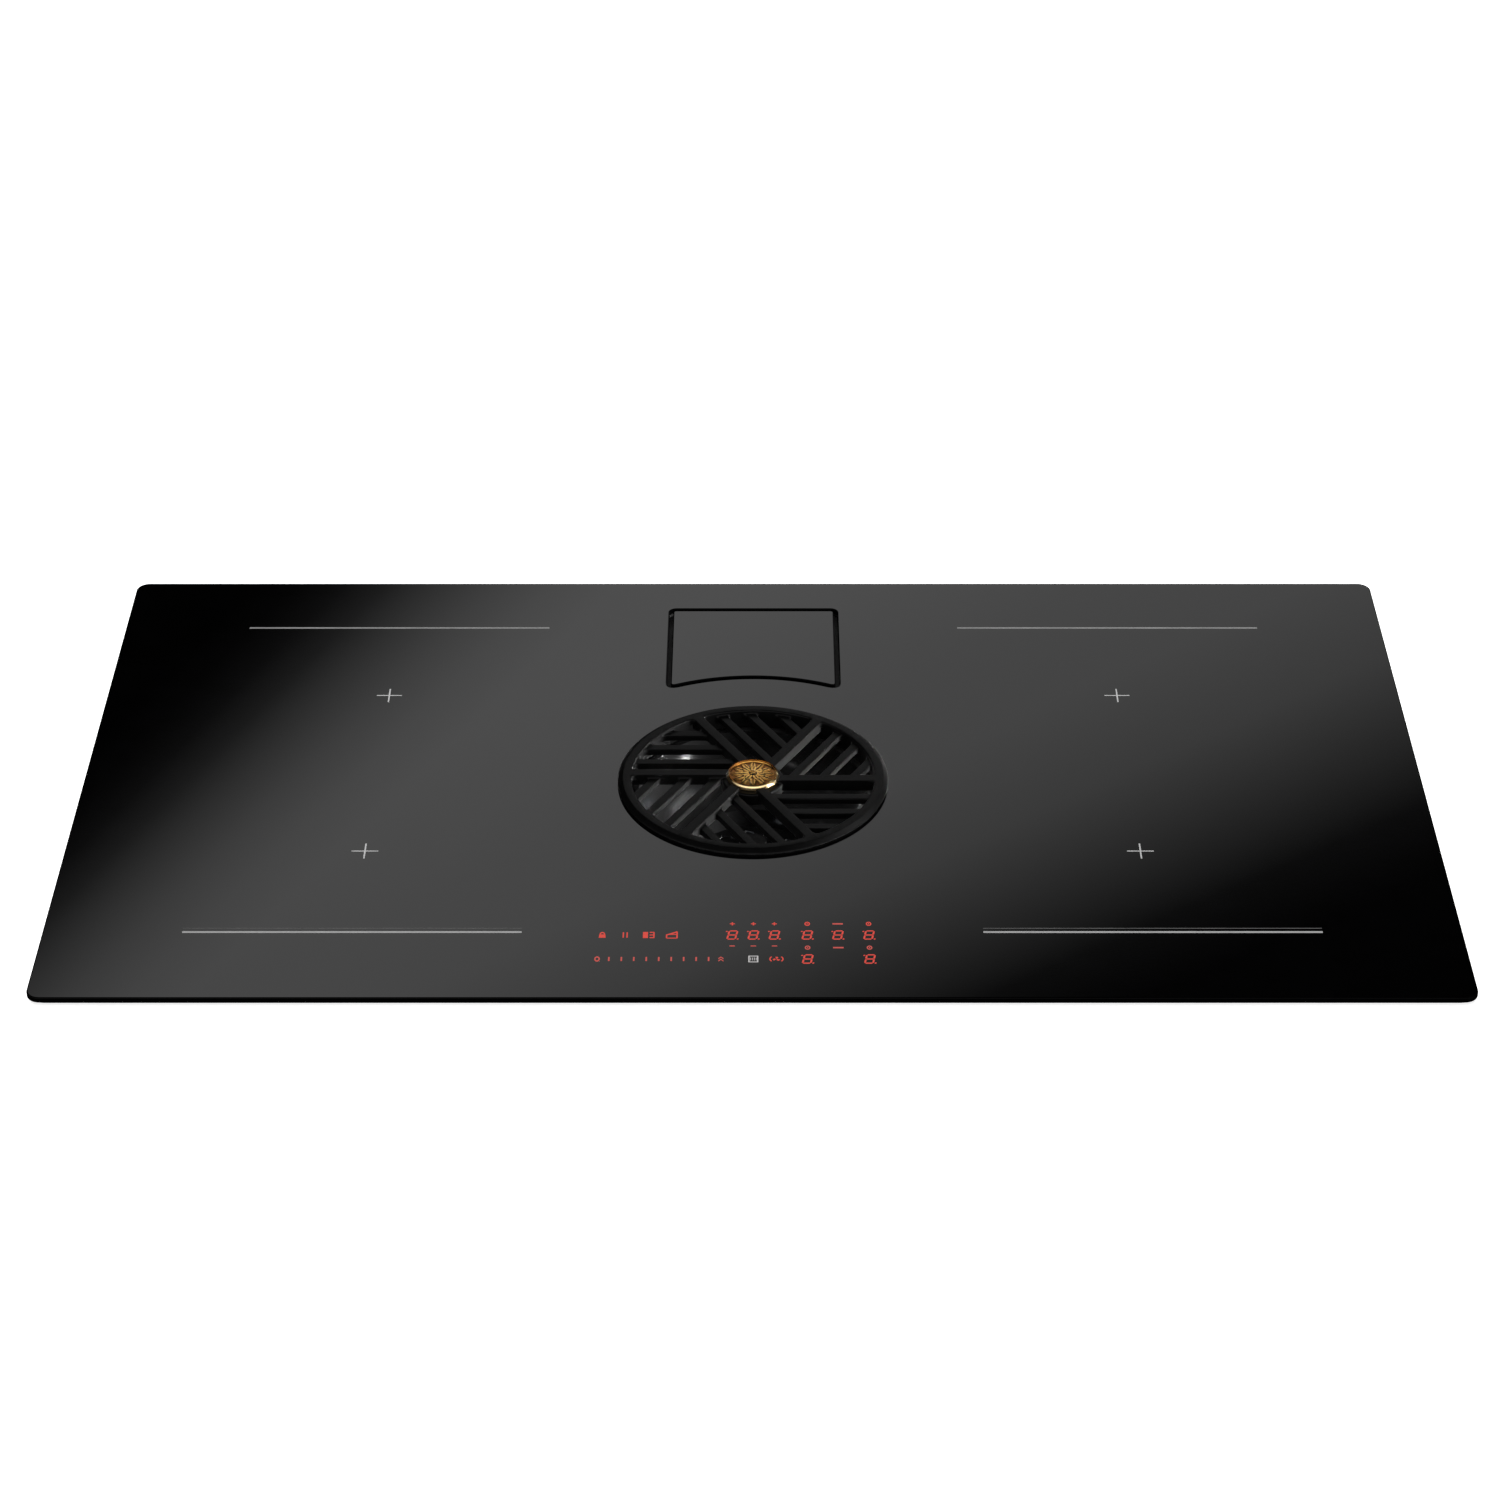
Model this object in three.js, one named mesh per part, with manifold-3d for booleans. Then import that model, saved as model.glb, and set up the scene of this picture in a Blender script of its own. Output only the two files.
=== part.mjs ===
// Built-in induction hob with a downdraft extractor in its middle and a weighing plate behind it.
// Millimetres, +Z up, +Y towards the back of the worktop. The origin is under the middle of the
// glass, on the underside of the fan box, so the hob stands on z = 0 when it is out of its worktop.
import * as THREE from "three";
import { mergeVertices } from "three/addons/utils/BufferGeometryUtils.js";
import Module from "manifold-3d";

const wasm = await Module();
wasm.setup();

// ---------------------------------------------------------------- driving dimensions

const GAP = 0.3; // between pieces that touch

const GLASS = { width: 900, depth: 510, thick: 4, corner: 9, z: 210 };
const GLASS_TOP = GLASS.z + GLASS.thick;
const WORKTOP_Z = 208; // the face of the worktop that the seal lies on
const SEAL = { inset: 3, width: 10, corner: 8, innerCorner: 4 };

// The steel tray that holds the induction parts under the glass.
const TRAY = { width: 856, depth: 476, wall: 1.2, z: 160, flange: 10, corner: 14 };
const TRAY_FLOOR = TRAY.z + TRAY.wall;
const UNDER_GLASS = GLASS.z - GAP;
const VENTS = { width: 3.6, z0: 172, z1: 196, first: 270, pitch: 18, count: 6 };
const CLAMP = { thick: 2, width: 30, foot: 11, toe: 17, y: 150, legTop: 200 };
const WORKTOP_THICK = 40; // the worktop that the clamps are set for

// The round extractor opening, its grille and the air path below it share one vertical axis.
const AXIS_Y = -9;
const HOLE_R = 86; // round cut-out in the glass
const RIM = { outer: 91, topOuter: 87.6, inner: 81.8, height: 4.5, skirt: 2, skirtZ: 205.2 };
const GRILLE_TOP = GLASS_TOP + RIM.height;
const GASKET = { inner: 85.2, outer: 89.6, thick: 0.7 };
const ARM = { count: 6, width: 7, offset: 3.5, depth: 8 };
const SLAT = { perSector: 3, pitch: 17.9, width: 5.8, drop: 3, depth: 4.6 };
const BAR_REACH = RIM.inner + 1; // every arm and slat ends inside the wall of the rim
const HUB = { r: 20.8, drop: 2.5, depth: 9 }; // lower than the arms, for the medallion
const MEDAL = { bezelR: 17.5, innerR: 16.3, discR: 16, height: 3.9, discThick: 2.4 };
const MEDAL_Z = GRILLE_TOP - HUB.drop + GAP;

const WELL = { inner: 80, wall: 2, seatR: 84.4, seatZ: 203, bottomZ: 141, flangeR: 100 };
const BOWL = { outer: 78.4, neck: 44, wall: 1.2, rimR: 83.6, neckZ: 161, bottomZ: 146, ledge: 4 };
const SCREEN = { thick: 1.2, play: 0.5, holeR: 5.4, rings: [[18, 7], [32, 13]] }; // ring radius, holes
const KNOB = { stemR: 5, footR: 10, headR: 9, foot: 2, headZ: 10, height: 16 };

// The weighing plate: straight on three sides, its front edge an arc about the grille's axis.
// The gap round it is wider along the arc than on the other sides.
const SCALE = { width: 115.4, backY: 215.4, arcR: 134.5, corner: 2.2, gap: 2.8, arcGap: 1.25 };
const GUTTER = { under: 5, beyond: 5, wall: 3, z: 205.8, floor: 1.2 }; // catches what runs into the gap
const CARRIER = { x: 50, y0: 136, y1: 208, z: 205.2, footLength: 18, footWidth: 18 };
const LOAD_CELL = { length: 80, side: 12, z: 186, y: 172, boreR: 4, boreX: 9, slot: 4 };
const CELL_POST = { length: 18, width: 20, baseLength: 32, baseWidth: 28, baseThick: 2.8 };

// Cooking zones: two on each side, with their middles at these places.
const ZONE = { x: 253.5, midY: 3, pitchY: 193 };
const COIL = { width: 205, depth: 178, corner: 60, eyeWidth: 62, eyeDepth: 44, z0: 201.3, z1: 206.6 };
const FORMER = { margin: 2, holeR: 4, z0: 197.3, z1: 201 };
const SENSOR_R = 6;
const COIL_PLATE = { x0: 135, x1: 372, y0: -190, y1: 196, z: 195.5, thick: 1.5, holeR: 9 };
const MICA = { inset: 2, corner: 6, holeR: 8, z: 207, thick: 0.8 };
const BOARD = { x0: 148, x1: 358, y0: -182, y1: 92, z: 166, thick: 1.6 };
const BOARD_POST = { xs: [154, 352], ys: [-176, 86], r: 3 };
const HEATSINK = { x0: 160, x1: 346, y0: 38, y1: 88, base: 4, height: 25, fins: 8, pitch: 6.4, fin: 1.6 };
const SIDES = [
  ["left", -1],
  ["right", 1],
];
const ROWS = [
  ["front", -1],
  ["rear", 1],
];

// The touch control under the front of the glass, and the mains terminals at the right rear.
const CRADLE = { x0: -112, x1: 96, y0: -227, y1: -161, z: 198, wall: 2 };
const TOUCH_BOARD = { margin: 1, thick: 1.7 };
const DISPLAY_TOP = 209.4;
const MAINS = { x0: 300, x1: 396, y0: 164, y1: 226, z: 128, wall: 2, roof: 2.2, lid: 2.5, lip: 4 };
const GLAND = { y: 195, z: 143, holeR: 9.4, bore: 6 };

// The fan box: suction above the deck, pressure below it, and a spill tank under the well.
const BOX = { x: 160, y0: -150, y1: 228, top: 156.4, wall: 2.2, corner: 8 };
const DECK_Z = 98;
const DECK_THICK = 2;
const DECK_HOLE = { x: 78, y0: -90, y1: 60, corner: 10 }; // where spilt liquid falls into the tank
const FAN = { y: 148, outer: 60, eye: 44, z0: 34, z1: 88, blades: 9, shaftR: 4.5 };
const SCROLL = { start: 64, grow: 5.2, tongue: 125, wall: 2 }; // radius grows by this each radian
const TANK = { x: 100, y0: -150, y1: 62, z0: 40, z1: 96, wall: 2 };
const TANK_FRONT = { x: 105, z0: 35, z1: 100, thick: 3 };
const TANK_PULL = { x: 45, reach: 17, z0: 66, z1: 82, wall: 3 };
const TANK_RAIL = { x: 92, width: 8 };
const BAY_WALL = { y: 66, thick: 2 };
const DUCT = { width: 218, height: 85, z: 7.5, wall: 2, length: 20, flange: 11 }; // fits a 222 x 89 duct

const COOLER = { side: 80, depth: 20, ringR: 37, hubR: 15, blades: 7, y: 143, corner: 6 };
const COOLER_BLADE = { pitch: 0.7, thick: 2, height: 14 };

// ---------------------------------------------------------------- materials

const finish = (color, roughness, metalness) =>
  new THREE.MeshStandardMaterial({ color, roughness, metalness });

const MATERIALS = {
  glass: finish(0x060606, 0.06, 0),
  foam: finish(0x111111, 0.95, 0),
  zinc: finish(0xb4b8ba, 0.4, 0.9),
  aluminium: finish(0xc2c4c6, 0.45, 0.9),
  cast: finish(0x161616, 0.45, 0.2),
  enamel: finish(0x080808, 0.15, 0),
  brass: finish(0xc8963c, 0.3, 1),
  silicone: finish(0x0b0b0b, 0.8, 0),
  blackPlastic: finish(0x101010, 0.35, 0),
  greyPlastic: finish(0x3b3d3f, 0.6, 0),
  steel: finish(0x8d9092, 0.35, 1),
  copper: finish(0xa8602c, 0.5, 0.8),
  mica: finish(0xb9ad8c, 0.7, 0),
  board: finish(0x1f5a34, 0.55, 0),
  clearPlastic: finish(0x8c9296, 0.3, 0),
};

// ---------------------------------------------------------------- shapes

const group = new THREE.Group();

function add(name, geometry, material) {
  const mesh = new THREE.Mesh(geometry, MATERIALS[material]);
  mesh.name = name;
  group.add(mesh);
  return mesh;
}

/** A rectangle with round corners, from (x0, y0) to (x1, y1). */
function rounded(x0, y0, x1, y1, r, Kind = THREE.Shape) {
  const s = new Kind();
  s.moveTo(x0 + r, y0);
  s.lineTo(x1 - r, y0);
  s.absarc(x1 - r, y0 + r, r, -Math.PI / 2, 0);
  s.lineTo(x1, y1 - r);
  s.absarc(x1 - r, y1 - r, r, 0, Math.PI / 2);
  s.lineTo(x0 + r, y1);
  s.absarc(x0 + r, y1 - r, r, Math.PI / 2, Math.PI);
  s.lineTo(x0, y0 + r);
  s.absarc(x0 + r, y0 + r, r, Math.PI, Math.PI * 1.5);
  return s;
}

const centred = (width, depth, r, Kind) =>
  rounded(-width / 2, -depth / 2, width / 2, depth / 2, r, Kind);

/** A circle in several arcs, each of which gets as many steps as a round corner does. */
function circle(x, y, r, Kind = THREE.Shape, arcs = 6) {
  const s = new Kind();
  const sweep = (2 * Math.PI) / arcs;
  for (let i = 0; i < arcs; i++) s.absarc(x, y, r, i * sweep, (i + 1) * sweep);
  return s;
}

function polygon(points) {
  return new THREE.Shape(points.map(([x, y]) => new THREE.Vector2(x, y)));
}

/** A shape in the XY plane, raised from z0 to z1. */
function prism(shape, z0, z1, curveSegments = 4) {
  const options = { depth: z1 - z0, bevelEnabled: false, curveSegments };
  return new THREE.ExtrudeGeometry(shape, options).translate(0, 0, z0);
}

function box(x0, x1, y0, y1, z0, z1) {
  const g = new THREE.BoxGeometry(x1 - x0, y1 - y0, z1 - z0);
  return g.translate((x0 + x1) / 2, (y0 + y1) / 2, (z0 + z1) / 2);
}

function drum(x, y, r, z0, z1, segments = 24) {
  const g = new THREE.CylinderGeometry(r, r, z1 - z0, segments);
  return g.rotateX(Math.PI / 2).translate(x, y, (z0 + z1) / 2);
}

/** A ring or cup turned about a vertical axis, from its closed [radius, z] outline. */
function turned(outline, x, y, segments = 48) {
  const points = [...outline, outline[0]].map(([r, z]) => new THREE.Vector2(r, z));
  return new THREE.LatheGeometry(points, segments).rotateX(Math.PI / 2).translate(x, y, 0);
}

// ---------------------------------------------------------------- joining and cutting

function solid(geometry) {
  const bare = new THREE.BufferGeometry();
  bare.setAttribute("position", geometry.getAttribute("position"));
  if (geometry.index) bare.setIndex(geometry.index);
  const merged = mergeVertices(bare, 1e-4);
  const mesh = new wasm.Mesh({
    numProp: 3,
    vertProperties: new Float32Array(merged.getAttribute("position").array),
    triVerts: new Uint32Array(merged.index.array),
  });
  return new wasm.Manifold(mesh);
}

function geometryOf(made) {
  const mesh = made.getMesh();
  const g = new THREE.BufferGeometry();
  g.setAttribute("position", new THREE.BufferAttribute(mesh.vertProperties, 3));
  g.setIndex(new THREE.BufferAttribute(mesh.triVerts, 1));
  return g;
}

const joinSolids = (geometries) =>
  geometries.map(solid).reduce((whole, next) => whole.add(next));

function join(...geometries) {
  return geometryOf(joinSolids(geometries));
}

function cut(body, ...tools) {
  return geometryOf(solid(body).subtract(joinSolids(tools)));
}

// ---------------------------------------------------------------- glass and seal

/** The weighing plate's outline, or its opening's when grow is the gap round it. */
function scaleOutline(grow, corner, Kind = THREE.Shape) {
  const half = SCALE.width / 2 + grow;
  const back = SCALE.backY + grow;
  const arcR = SCALE.arcR - grow * SCALE.arcGap;
  const frontY = AXIS_Y + Math.sqrt(arcR ** 2 - (half - corner * 1.6) ** 2);
  const tilt = Math.atan2(half - corner * 1.6, frontY - AXIS_Y);
  const s = new Kind();
  s.moveTo(half, frontY + corner);
  s.lineTo(half, back - corner);
  s.absarc(half - corner, back - corner, corner, 0, Math.PI / 2);
  s.lineTo(-half + corner, back);
  s.absarc(-half + corner, back - corner, corner, Math.PI / 2, Math.PI);
  s.lineTo(-half, frontY + corner);
  s.quadraticCurveTo(-half, frontY - corner * 0.55, -half + corner * 1.6, frontY);
  s.absarc(0, AXIS_Y, arcR, Math.PI / 2 + tilt, Math.PI / 2 - tilt, true);
  s.quadraticCurveTo(half, frontY - corner * 0.55, half, frontY + corner);
  return s;
}

function makeGlass() {
  const top = centred(GLASS.width, GLASS.depth, GLASS.corner);
  top.holes.push(circle(0, AXIS_Y, HOLE_R, THREE.Path));
  top.holes.push(scaleOutline(SCALE.gap, SCALE.corner + SCALE.gap, THREE.Path));
  add("glass_top", prism(top, GLASS.z, GLASS_TOP), "glass");

  const width = GLASS.width - 2 * SEAL.inset;
  const depth = GLASS.depth - 2 * SEAL.inset;
  const seal = centred(width, depth, SEAL.corner);
  const inner = [width - 2 * SEAL.width, depth - 2 * SEAL.width, SEAL.innerCorner];
  seal.holes.push(centred(...inner, THREE.Path));
  add("glass_seal", prism(seal, WORKTOP_Z, UNDER_GLASS, 3), "foam");
}

// ---------------------------------------------------------------- tray

/** Upright vent slots near both ends of the tray's front or back wall. */
function ventSlots(y) {
  const { width, z0, z1, first, pitch, count } = VENTS;
  const through = TRAY.wall * 3;
  return SIDES.flatMap(([, s]) =>
    Array.from({ length: count }, (_, i) => {
      const x = s * (first + i * pitch);
      return box(x - width / 2, x + width / 2, y - through, y + through, z0, z1);
    }),
  );
}

function makeTray() {
  const { width, depth, wall, corner, flange } = TRAY;
  const outer = prism(centred(width, depth, corner), TRAY.z, UNDER_GLASS, 3);
  const inside = centred(width - 2 * wall, depth - 2 * wall, corner - wall);
  const mouth = centred(width - 2 * flange, depth - 2 * flange, corner - wall);
  const tray = cut(
    outer,
    prism(inside, TRAY_FLOOR, UNDER_GLASS - wall, 3),
    prism(mouth, TRAY_FLOOR + 5, UNDER_GLASS + 5, 3),
    drum(0, AXIS_Y, WELL.inner + WELL.wall + 2, TRAY.z - 5, TRAY_FLOOR + 5, 48),
    ...SIDES.map(([, s]) => drum(s * ZONE.x, COOLER.y, COOLER.ringR - 3, TRAY.z - 5, TRAY_FLOOR + 5)),
    ...ventSlots(depth / 2 - wall),
    ...ventSlots(-depth / 2 + wall),
  );
  const { xs, ys, r } = BOARD_POST;
  const post = (x, y) => drum(x, y, r, TRAY.z, BOARD.z - GAP, 8);
  const posts = SIDES.flatMap(([, s]) => xs.flatMap((x) => ys.map((y) => post(s * x, y))));
  add("base_tray", join(tray, ...posts), "zinc");
}

/** Clamps on the tray's side walls. Their feet press up against the worktop, and their toes turn down. */
function makeClamps() {
  const { thick, width, foot, toe, y, legTop } = CLAMP;
  const inX = TRAY.width / 2 + GAP;
  const outX = inX + thick;
  const footTop = WORKTOP_Z - WORKTOP_THICK;
  const profile = polygon([
    [inX, footTop - thick],
    [outX + foot - thick / 2, footTop - thick],
    [outX + toe - thick, footTop - 3 * thick],
    [outX + toe, footTop - 2.4 * thick],
    [outX + foot, footTop],
    [outX, footTop],
    [outX, legTop],
    [inX, legTop],
  ]);
  for (const [side, s] of SIDES)
    for (const [row, r] of ROWS) {
      const clamp = prism(profile, -width / 2, width / 2).rotateX(Math.PI / 2);
      if (s < 0) clamp.rotateZ(Math.PI);
      add(`worktop_clamp_${side}_${row}`, clamp.translate(0, r * y, 0), "steel");
    }
}

// ---------------------------------------------------------------- induction

/** The middle of a front (-1) or rear (1) zone. */
const zoneY = (row) => ZONE.midY + (row * ZONE.pitchY) / 2;

function makeCoils() {
  const { width, depth, corner, eyeWidth, eyeDepth, z0, z1 } = COIL;
  const { margin, holeR } = FORMER;
  for (const [side, s] of SIDES)
    for (const [row, r] of ROWS) {
      const x = s * ZONE.x;
      const y = zoneY(r);
      const name = (piece) => `${piece}_${side}_${row}`;

      const former = centred(width + 2 * margin, depth + 2 * margin, corner + margin);
      former.holes.push(circle(0, 0, holeR, THREE.Path, 2));
      const formerBody = prism(former, FORMER.z0, FORMER.z1, 3).translate(x, y, 0);
      add(name("coil_former"), formerBody, "greyPlastic");

      const winding = centred(width, depth, corner);
      winding.holes.push(centred(eyeWidth, eyeDepth, eyeDepth * 0.45, THREE.Path));
      add(name("coil_winding"), prism(winding, z0, z1).translate(x, y, 0), "copper");

      add(name("glass_sensor"), drum(x, y, SENSOR_R, z0, UNDER_GLASS - 0.1, 12), "silicone");
    }
}

function makeSidePack([side, s]) {
  const { x0, x1, y0, y1, z, thick, holeR } = COIL_PLATE;
  // Both sides hold the same parts, as mirror images.
  const addHere = (name, geometry, material) => {
    add(`${name}_${side}`, geometry, material).scale.x = s;
  };

  // A folded plate that stands on the tray floor and carries both coils of its side.
  const plate = join(
    box(x0, x1, y0, y1, z, z + thick),
    box(x0, x0 + thick, y0, y1, TRAY_FLOOR + GAP, z + thick),
    box(x1 - thick, x1, y0, y1, TRAY_FLOOR + GAP, z + thick),
  );
  const sensorHoles = ROWS.map(([, r]) => drum(ZONE.x, zoneY(r), holeR, z - 5, z + 5, 12));
  addHere("coil_plate", cut(plate, ...sensorHoles), "aluminium");

  const { inset } = MICA;
  const sheet = rounded(x0 + inset, y0 + inset, x1 - inset, y1 - inset, MICA.corner);
  for (const [, r] of ROWS) sheet.holes.push(circle(ZONE.x, zoneY(r), MICA.holeR, THREE.Path, 2));
  addHere("mica_sheet", prism(sheet, MICA.z, MICA.z + MICA.thick, 2), "mica");

  const boardTop = BOARD.z + BOARD.thick;
  addHere("power_board", box(BOARD.x0, BOARD.x1, BOARD.y0, BOARD.y1, BOARD.z, boardTop), "board");

  const sink = HEATSINK;
  const sinkZ = boardTop + GAP;
  const base = box(sink.x0, sink.x1, sink.y0, sink.y1, sinkZ, sinkZ + sink.base);
  const fins = Array.from({ length: sink.fins }, (_, i) => {
    const y = sink.y0 + sink.fin + i * sink.pitch;
    return box(sink.x0, sink.x1, y, y + sink.fin, sinkZ + sink.base / 2, sinkZ + sink.height);
  });
  addHere("heatsink", join(base, ...fins), "aluminium");
}

/** A cooling fan over its hole in the tray floor, blowing across the power board. */
function makeCooler([side, s]) {
  const { side: size, depth, ringR, hubR, blades, y, corner } = COOLER;
  const x = s * ZONE.x;
  const z0 = TRAY_FLOOR + GAP;
  const frame = cut(
    prism(centred(size, size, corner), z0, z0 + depth),
    drum(0, 0, ringR, z0 - 5, z0 + depth + 5),
  );
  const spoke = { half: 1.5, thick: 2 };
  const spokes = [0, 1, 2].map((i) =>
    box(0, ringR + 1, -spoke.half, spoke.half, z0, z0 + spoke.thick).rotateZ((i * 2 * Math.PI) / 3),
  );
  const mount = drum(0, 0, hubR, z0, z0 + spoke.thick, 20);
  add(`cooler_frame_${side}`, join(frame, ...spokes, mount).translate(x, y, 0), "blackPlastic");

  const { pitch, thick, height } = COOLER_BLADE;
  const blade = () =>
    box(hubR - 2, ringR - 1.5, -thick / 2, thick / 2, -height / 2, height / 2)
      .rotateX(pitch)
      .translate(0, 0, z0 + 11);
  const rotor = join(
    drum(0, 0, hubR, z0 + 3, z0 + depth - 1, 20),
    ...Array.from({ length: blades }, (_, i) => blade().rotateZ((i * 2 * Math.PI) / blades)),
  );
  add(`cooler_rotor_${side}`, rotor.translate(x, y, 0), "greyPlastic");
}

// ---------------------------------------------------------------- touch control and mains

function makeControls() {
  const { x0, x1, y0, y1, z, wall } = CRADLE;
  const floor = z + wall;
  const cradle = cut(
    box(x0, x1, y0, y1, z, UNDER_GLASS),
    box(x0 + wall, x1 - wall, y0 + wall, y1 - wall, floor, UNDER_GLASS + 5),
  );
  add("touch_cradle", cradle, "blackPlastic");

  const edge = wall + TOUCH_BOARD.margin;
  const boardZ = floor + GAP;
  const boardTop = boardZ + TOUCH_BOARD.thick;
  add("touch_board", box(x0 + edge, x1 - edge, y0 + edge, y1 - edge, boardZ, boardTop), "board");

  // Light guides under the slider, the row of keys and the digits, joined by one low bridge.
  const guideZ = boardTop + 1.9;
  const guides = join(
    box(-104, -12, -222, -205, guideZ, DISPLAY_TOP),
    box(-104, 84, -194, -180, guideZ, DISPLAY_TOP),
    box(-20, 84, -222, -176, guideZ, DISPLAY_TOP - 2.4),
    box(26, 84, -222, -176, guideZ + 1, DISPLAY_TOP),
  );
  add("display_block", guides, "greyPlastic");
}

function makeMains() {
  const { x0, x1, y0, y1, z, wall, roof, lid, lip } = MAINS;
  const top = TRAY.z - GAP;
  const onSide = (piece) => piece.rotateY(Math.PI / 2).translate(x1, GLAND.y, GLAND.z);
  const shell = cut(
    box(x0, x1, y0, y1, z, top),
    box(x0 + wall, x1 - wall, y0 + wall, y1 - wall, z - 5, top - roof),
    onSide(drum(0, 0, GLAND.holeR, -3 * wall, 3 * wall, 24)),
  );
  add("terminal_box", shell, "blackPlastic");

  const lidTop = z - GAP;
  const cover = join(
    box(x0, x1, y0, y1, lidTop - lid, lidTop),
    box(x0 + lip, x1 - lip, y0 + lip, y1 - lip, lidTop - lid / 2, z + wall),
  );
  add("terminal_cover", cover, "blackPlastic");

  const { bore } = GLAND;
  const gland = turned(
    [
      [bore, -6],
      [bore + 3, -6],
      [bore + 3, GAP],
      [bore + 7, GAP],
      [bore + 7, 8],
      [bore + 4.5, 16],
      [bore, 20],
    ],
    0,
    0,
    24,
  );
  add("cable_gland", onSide(gland), "blackPlastic");
}

// ---------------------------------------------------------------- weighing plate

function makeScale() {
  add("scale_plate", prism(scaleOutline(0, SCALE.corner), GLASS.z, GLASS_TOP), "glass");

  const edge = SCALE.gap + GUTTER.beyond;
  const gutterBand = (inner, corner, z0, z1) => {
    const band = scaleOutline(edge, SCALE.corner + edge);
    band.holes.push(scaleOutline(inner, corner, THREE.Path));
    return prism(band, z0, z1);
  };
  const wallFoot = edge - GUTTER.wall;
  const gutter = join(
    gutterBand(-GUTTER.under, 1.5, GUTTER.z, GUTTER.z + GUTTER.floor),
    gutterBand(wallFoot, SCALE.corner + wallFoot, GUTTER.z + 0.5, UNDER_GLASS),
  );
  add("scale_gutter", gutter, "silicone");

  const { length, side, z, y, boreR, boreX, slot } = LOAD_CELL;
  const half = length / 2;
  const { footLength, footWidth } = CARRIER;
  const carrier = join(
    box(-CARRIER.x, CARRIER.x, CARRIER.y0, CARRIER.y1, CARRIER.z, UNDER_GLASS),
    box(half - footLength, half, y - footWidth / 2, y + footWidth / 2, z + side + GAP, CARRIER.z + 1),
  );
  add("scale_carrier", carrier, "aluminium");

  // The bending beam has a window of two bores and a slot, so that its end moves straight down.
  const middle = z + side / 2;
  const bore = (x) => drum(0, 0, boreR, -side, side, 20).rotateX(Math.PI / 2).translate(x, y, middle);
  const beam = cut(
    box(-half, half, y - side / 2, y + side / 2, z, z + side),
    bore(-boreX),
    bore(boreX),
    box(-boreX, boreX, y - side, y + side, middle - slot / 2, middle + slot / 2),
  );
  add("load_cell", beam, "aluminium");

  const { baseLength, baseWidth, baseThick } = CELL_POST;
  const postX = -half + CELL_POST.length;
  const floor = TRAY_FLOOR + GAP;
  const post = join(
    box(-half, postX, y - CELL_POST.width / 2, y + CELL_POST.width / 2, floor, z - GAP),
    box(postX - baseLength, postX, y - baseWidth / 2, y + baseWidth / 2, floor, floor + baseThick),
  );
  add("load_cell_post", post, "zinc");
}

// ---------------------------------------------------------------- grille

/** A bar along +X of the grille's own plane, turned to its arm's direction. */
function bar(width, offset, u0, u1, z0, z1, angle) {
  return box(u0, u1, offset - width / 2, offset + width / 2, z0, z1).rotateZ(angle);
}

function makeGrille() {
  const rimZ = GLASS_TOP + GASKET.thick + 2 * GAP;
  const rim = turned(
    [
      [RIM.inner, RIM.skirtZ],
      [RIM.inner + RIM.skirt, RIM.skirtZ],
      [RIM.inner + RIM.skirt, rimZ],
      [RIM.outer - 0.5, rimZ],
      [RIM.outer, rimZ + 0.4],
      [RIM.topOuter, GRILLE_TOP],
      [RIM.inner + 0.6, GRILLE_TOP],
      [RIM.inner, GRILLE_TOP - 0.6],
    ],
    0,
    0,
    72,
  );

  const turns = Array.from({ length: ARM.count }, (_, i) => (i * 2 * Math.PI) / ARM.count);
  const armZ = GRILLE_TOP - ARM.depth;
  const arms = turns.map((a) => bar(ARM.width, -ARM.offset, 4, BAR_REACH, armZ, GRILLE_TOP, a));

  // Each slat is parallel to one arm and runs from inside the arm before it to the wall of the rim.
  const slatTop = GRILLE_TOP - SLAT.drop;
  const slats = [];
  for (let n = 1; n <= SLAT.perSector; n++) {
    const v = -ARM.offset - n * SLAT.pitch;
    const start = (-v - ARM.offset / 2) / Math.tan(Math.PI / 3) - ARM.offset;
    const end = Math.sqrt(BAR_REACH ** 2 - (Math.abs(v) - SLAT.width / 2) ** 2);
    for (const a of turns)
      slats.push(bar(SLAT.width, v, start, end, slatTop - SLAT.depth, slatTop, a));
  }

  // The arms run over the edge of the hub and stop at the round seat of the medallion.
  const hubTop = GRILLE_TOP - HUB.drop;
  const hub = drum(0, 0, HUB.r, hubTop - HUB.depth, hubTop, 48);
  const seat = drum(0, 0, MEDAL.bezelR + GAP, hubTop, GRILLE_TOP + 1, 48);
  const beyond = turned(
    [
      [BAR_REACH, armZ - 5],
      [BAR_REACH + 20, armZ - 5],
      [BAR_REACH + 20, GRILLE_TOP + 5],
      [BAR_REACH, GRILLE_TOP + 5],
    ],
    0,
    0,
    72,
  );
  const bars = cut(join(...arms, ...slats, hub), seat, beyond);
  const grille = join(rim, bars).translate(0, AXIS_Y, 0);
  add("grille", grille, "cast");

  const gasket = circle(0, AXIS_Y, GASKET.outer);
  gasket.holes.push(circle(0, AXIS_Y, GASKET.inner, THREE.Path));
  const gasketZ = GLASS_TOP + GAP;
  add("grille_gasket", prism(gasket, gasketZ, gasketZ + GASKET.thick), "silicone");
}

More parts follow.
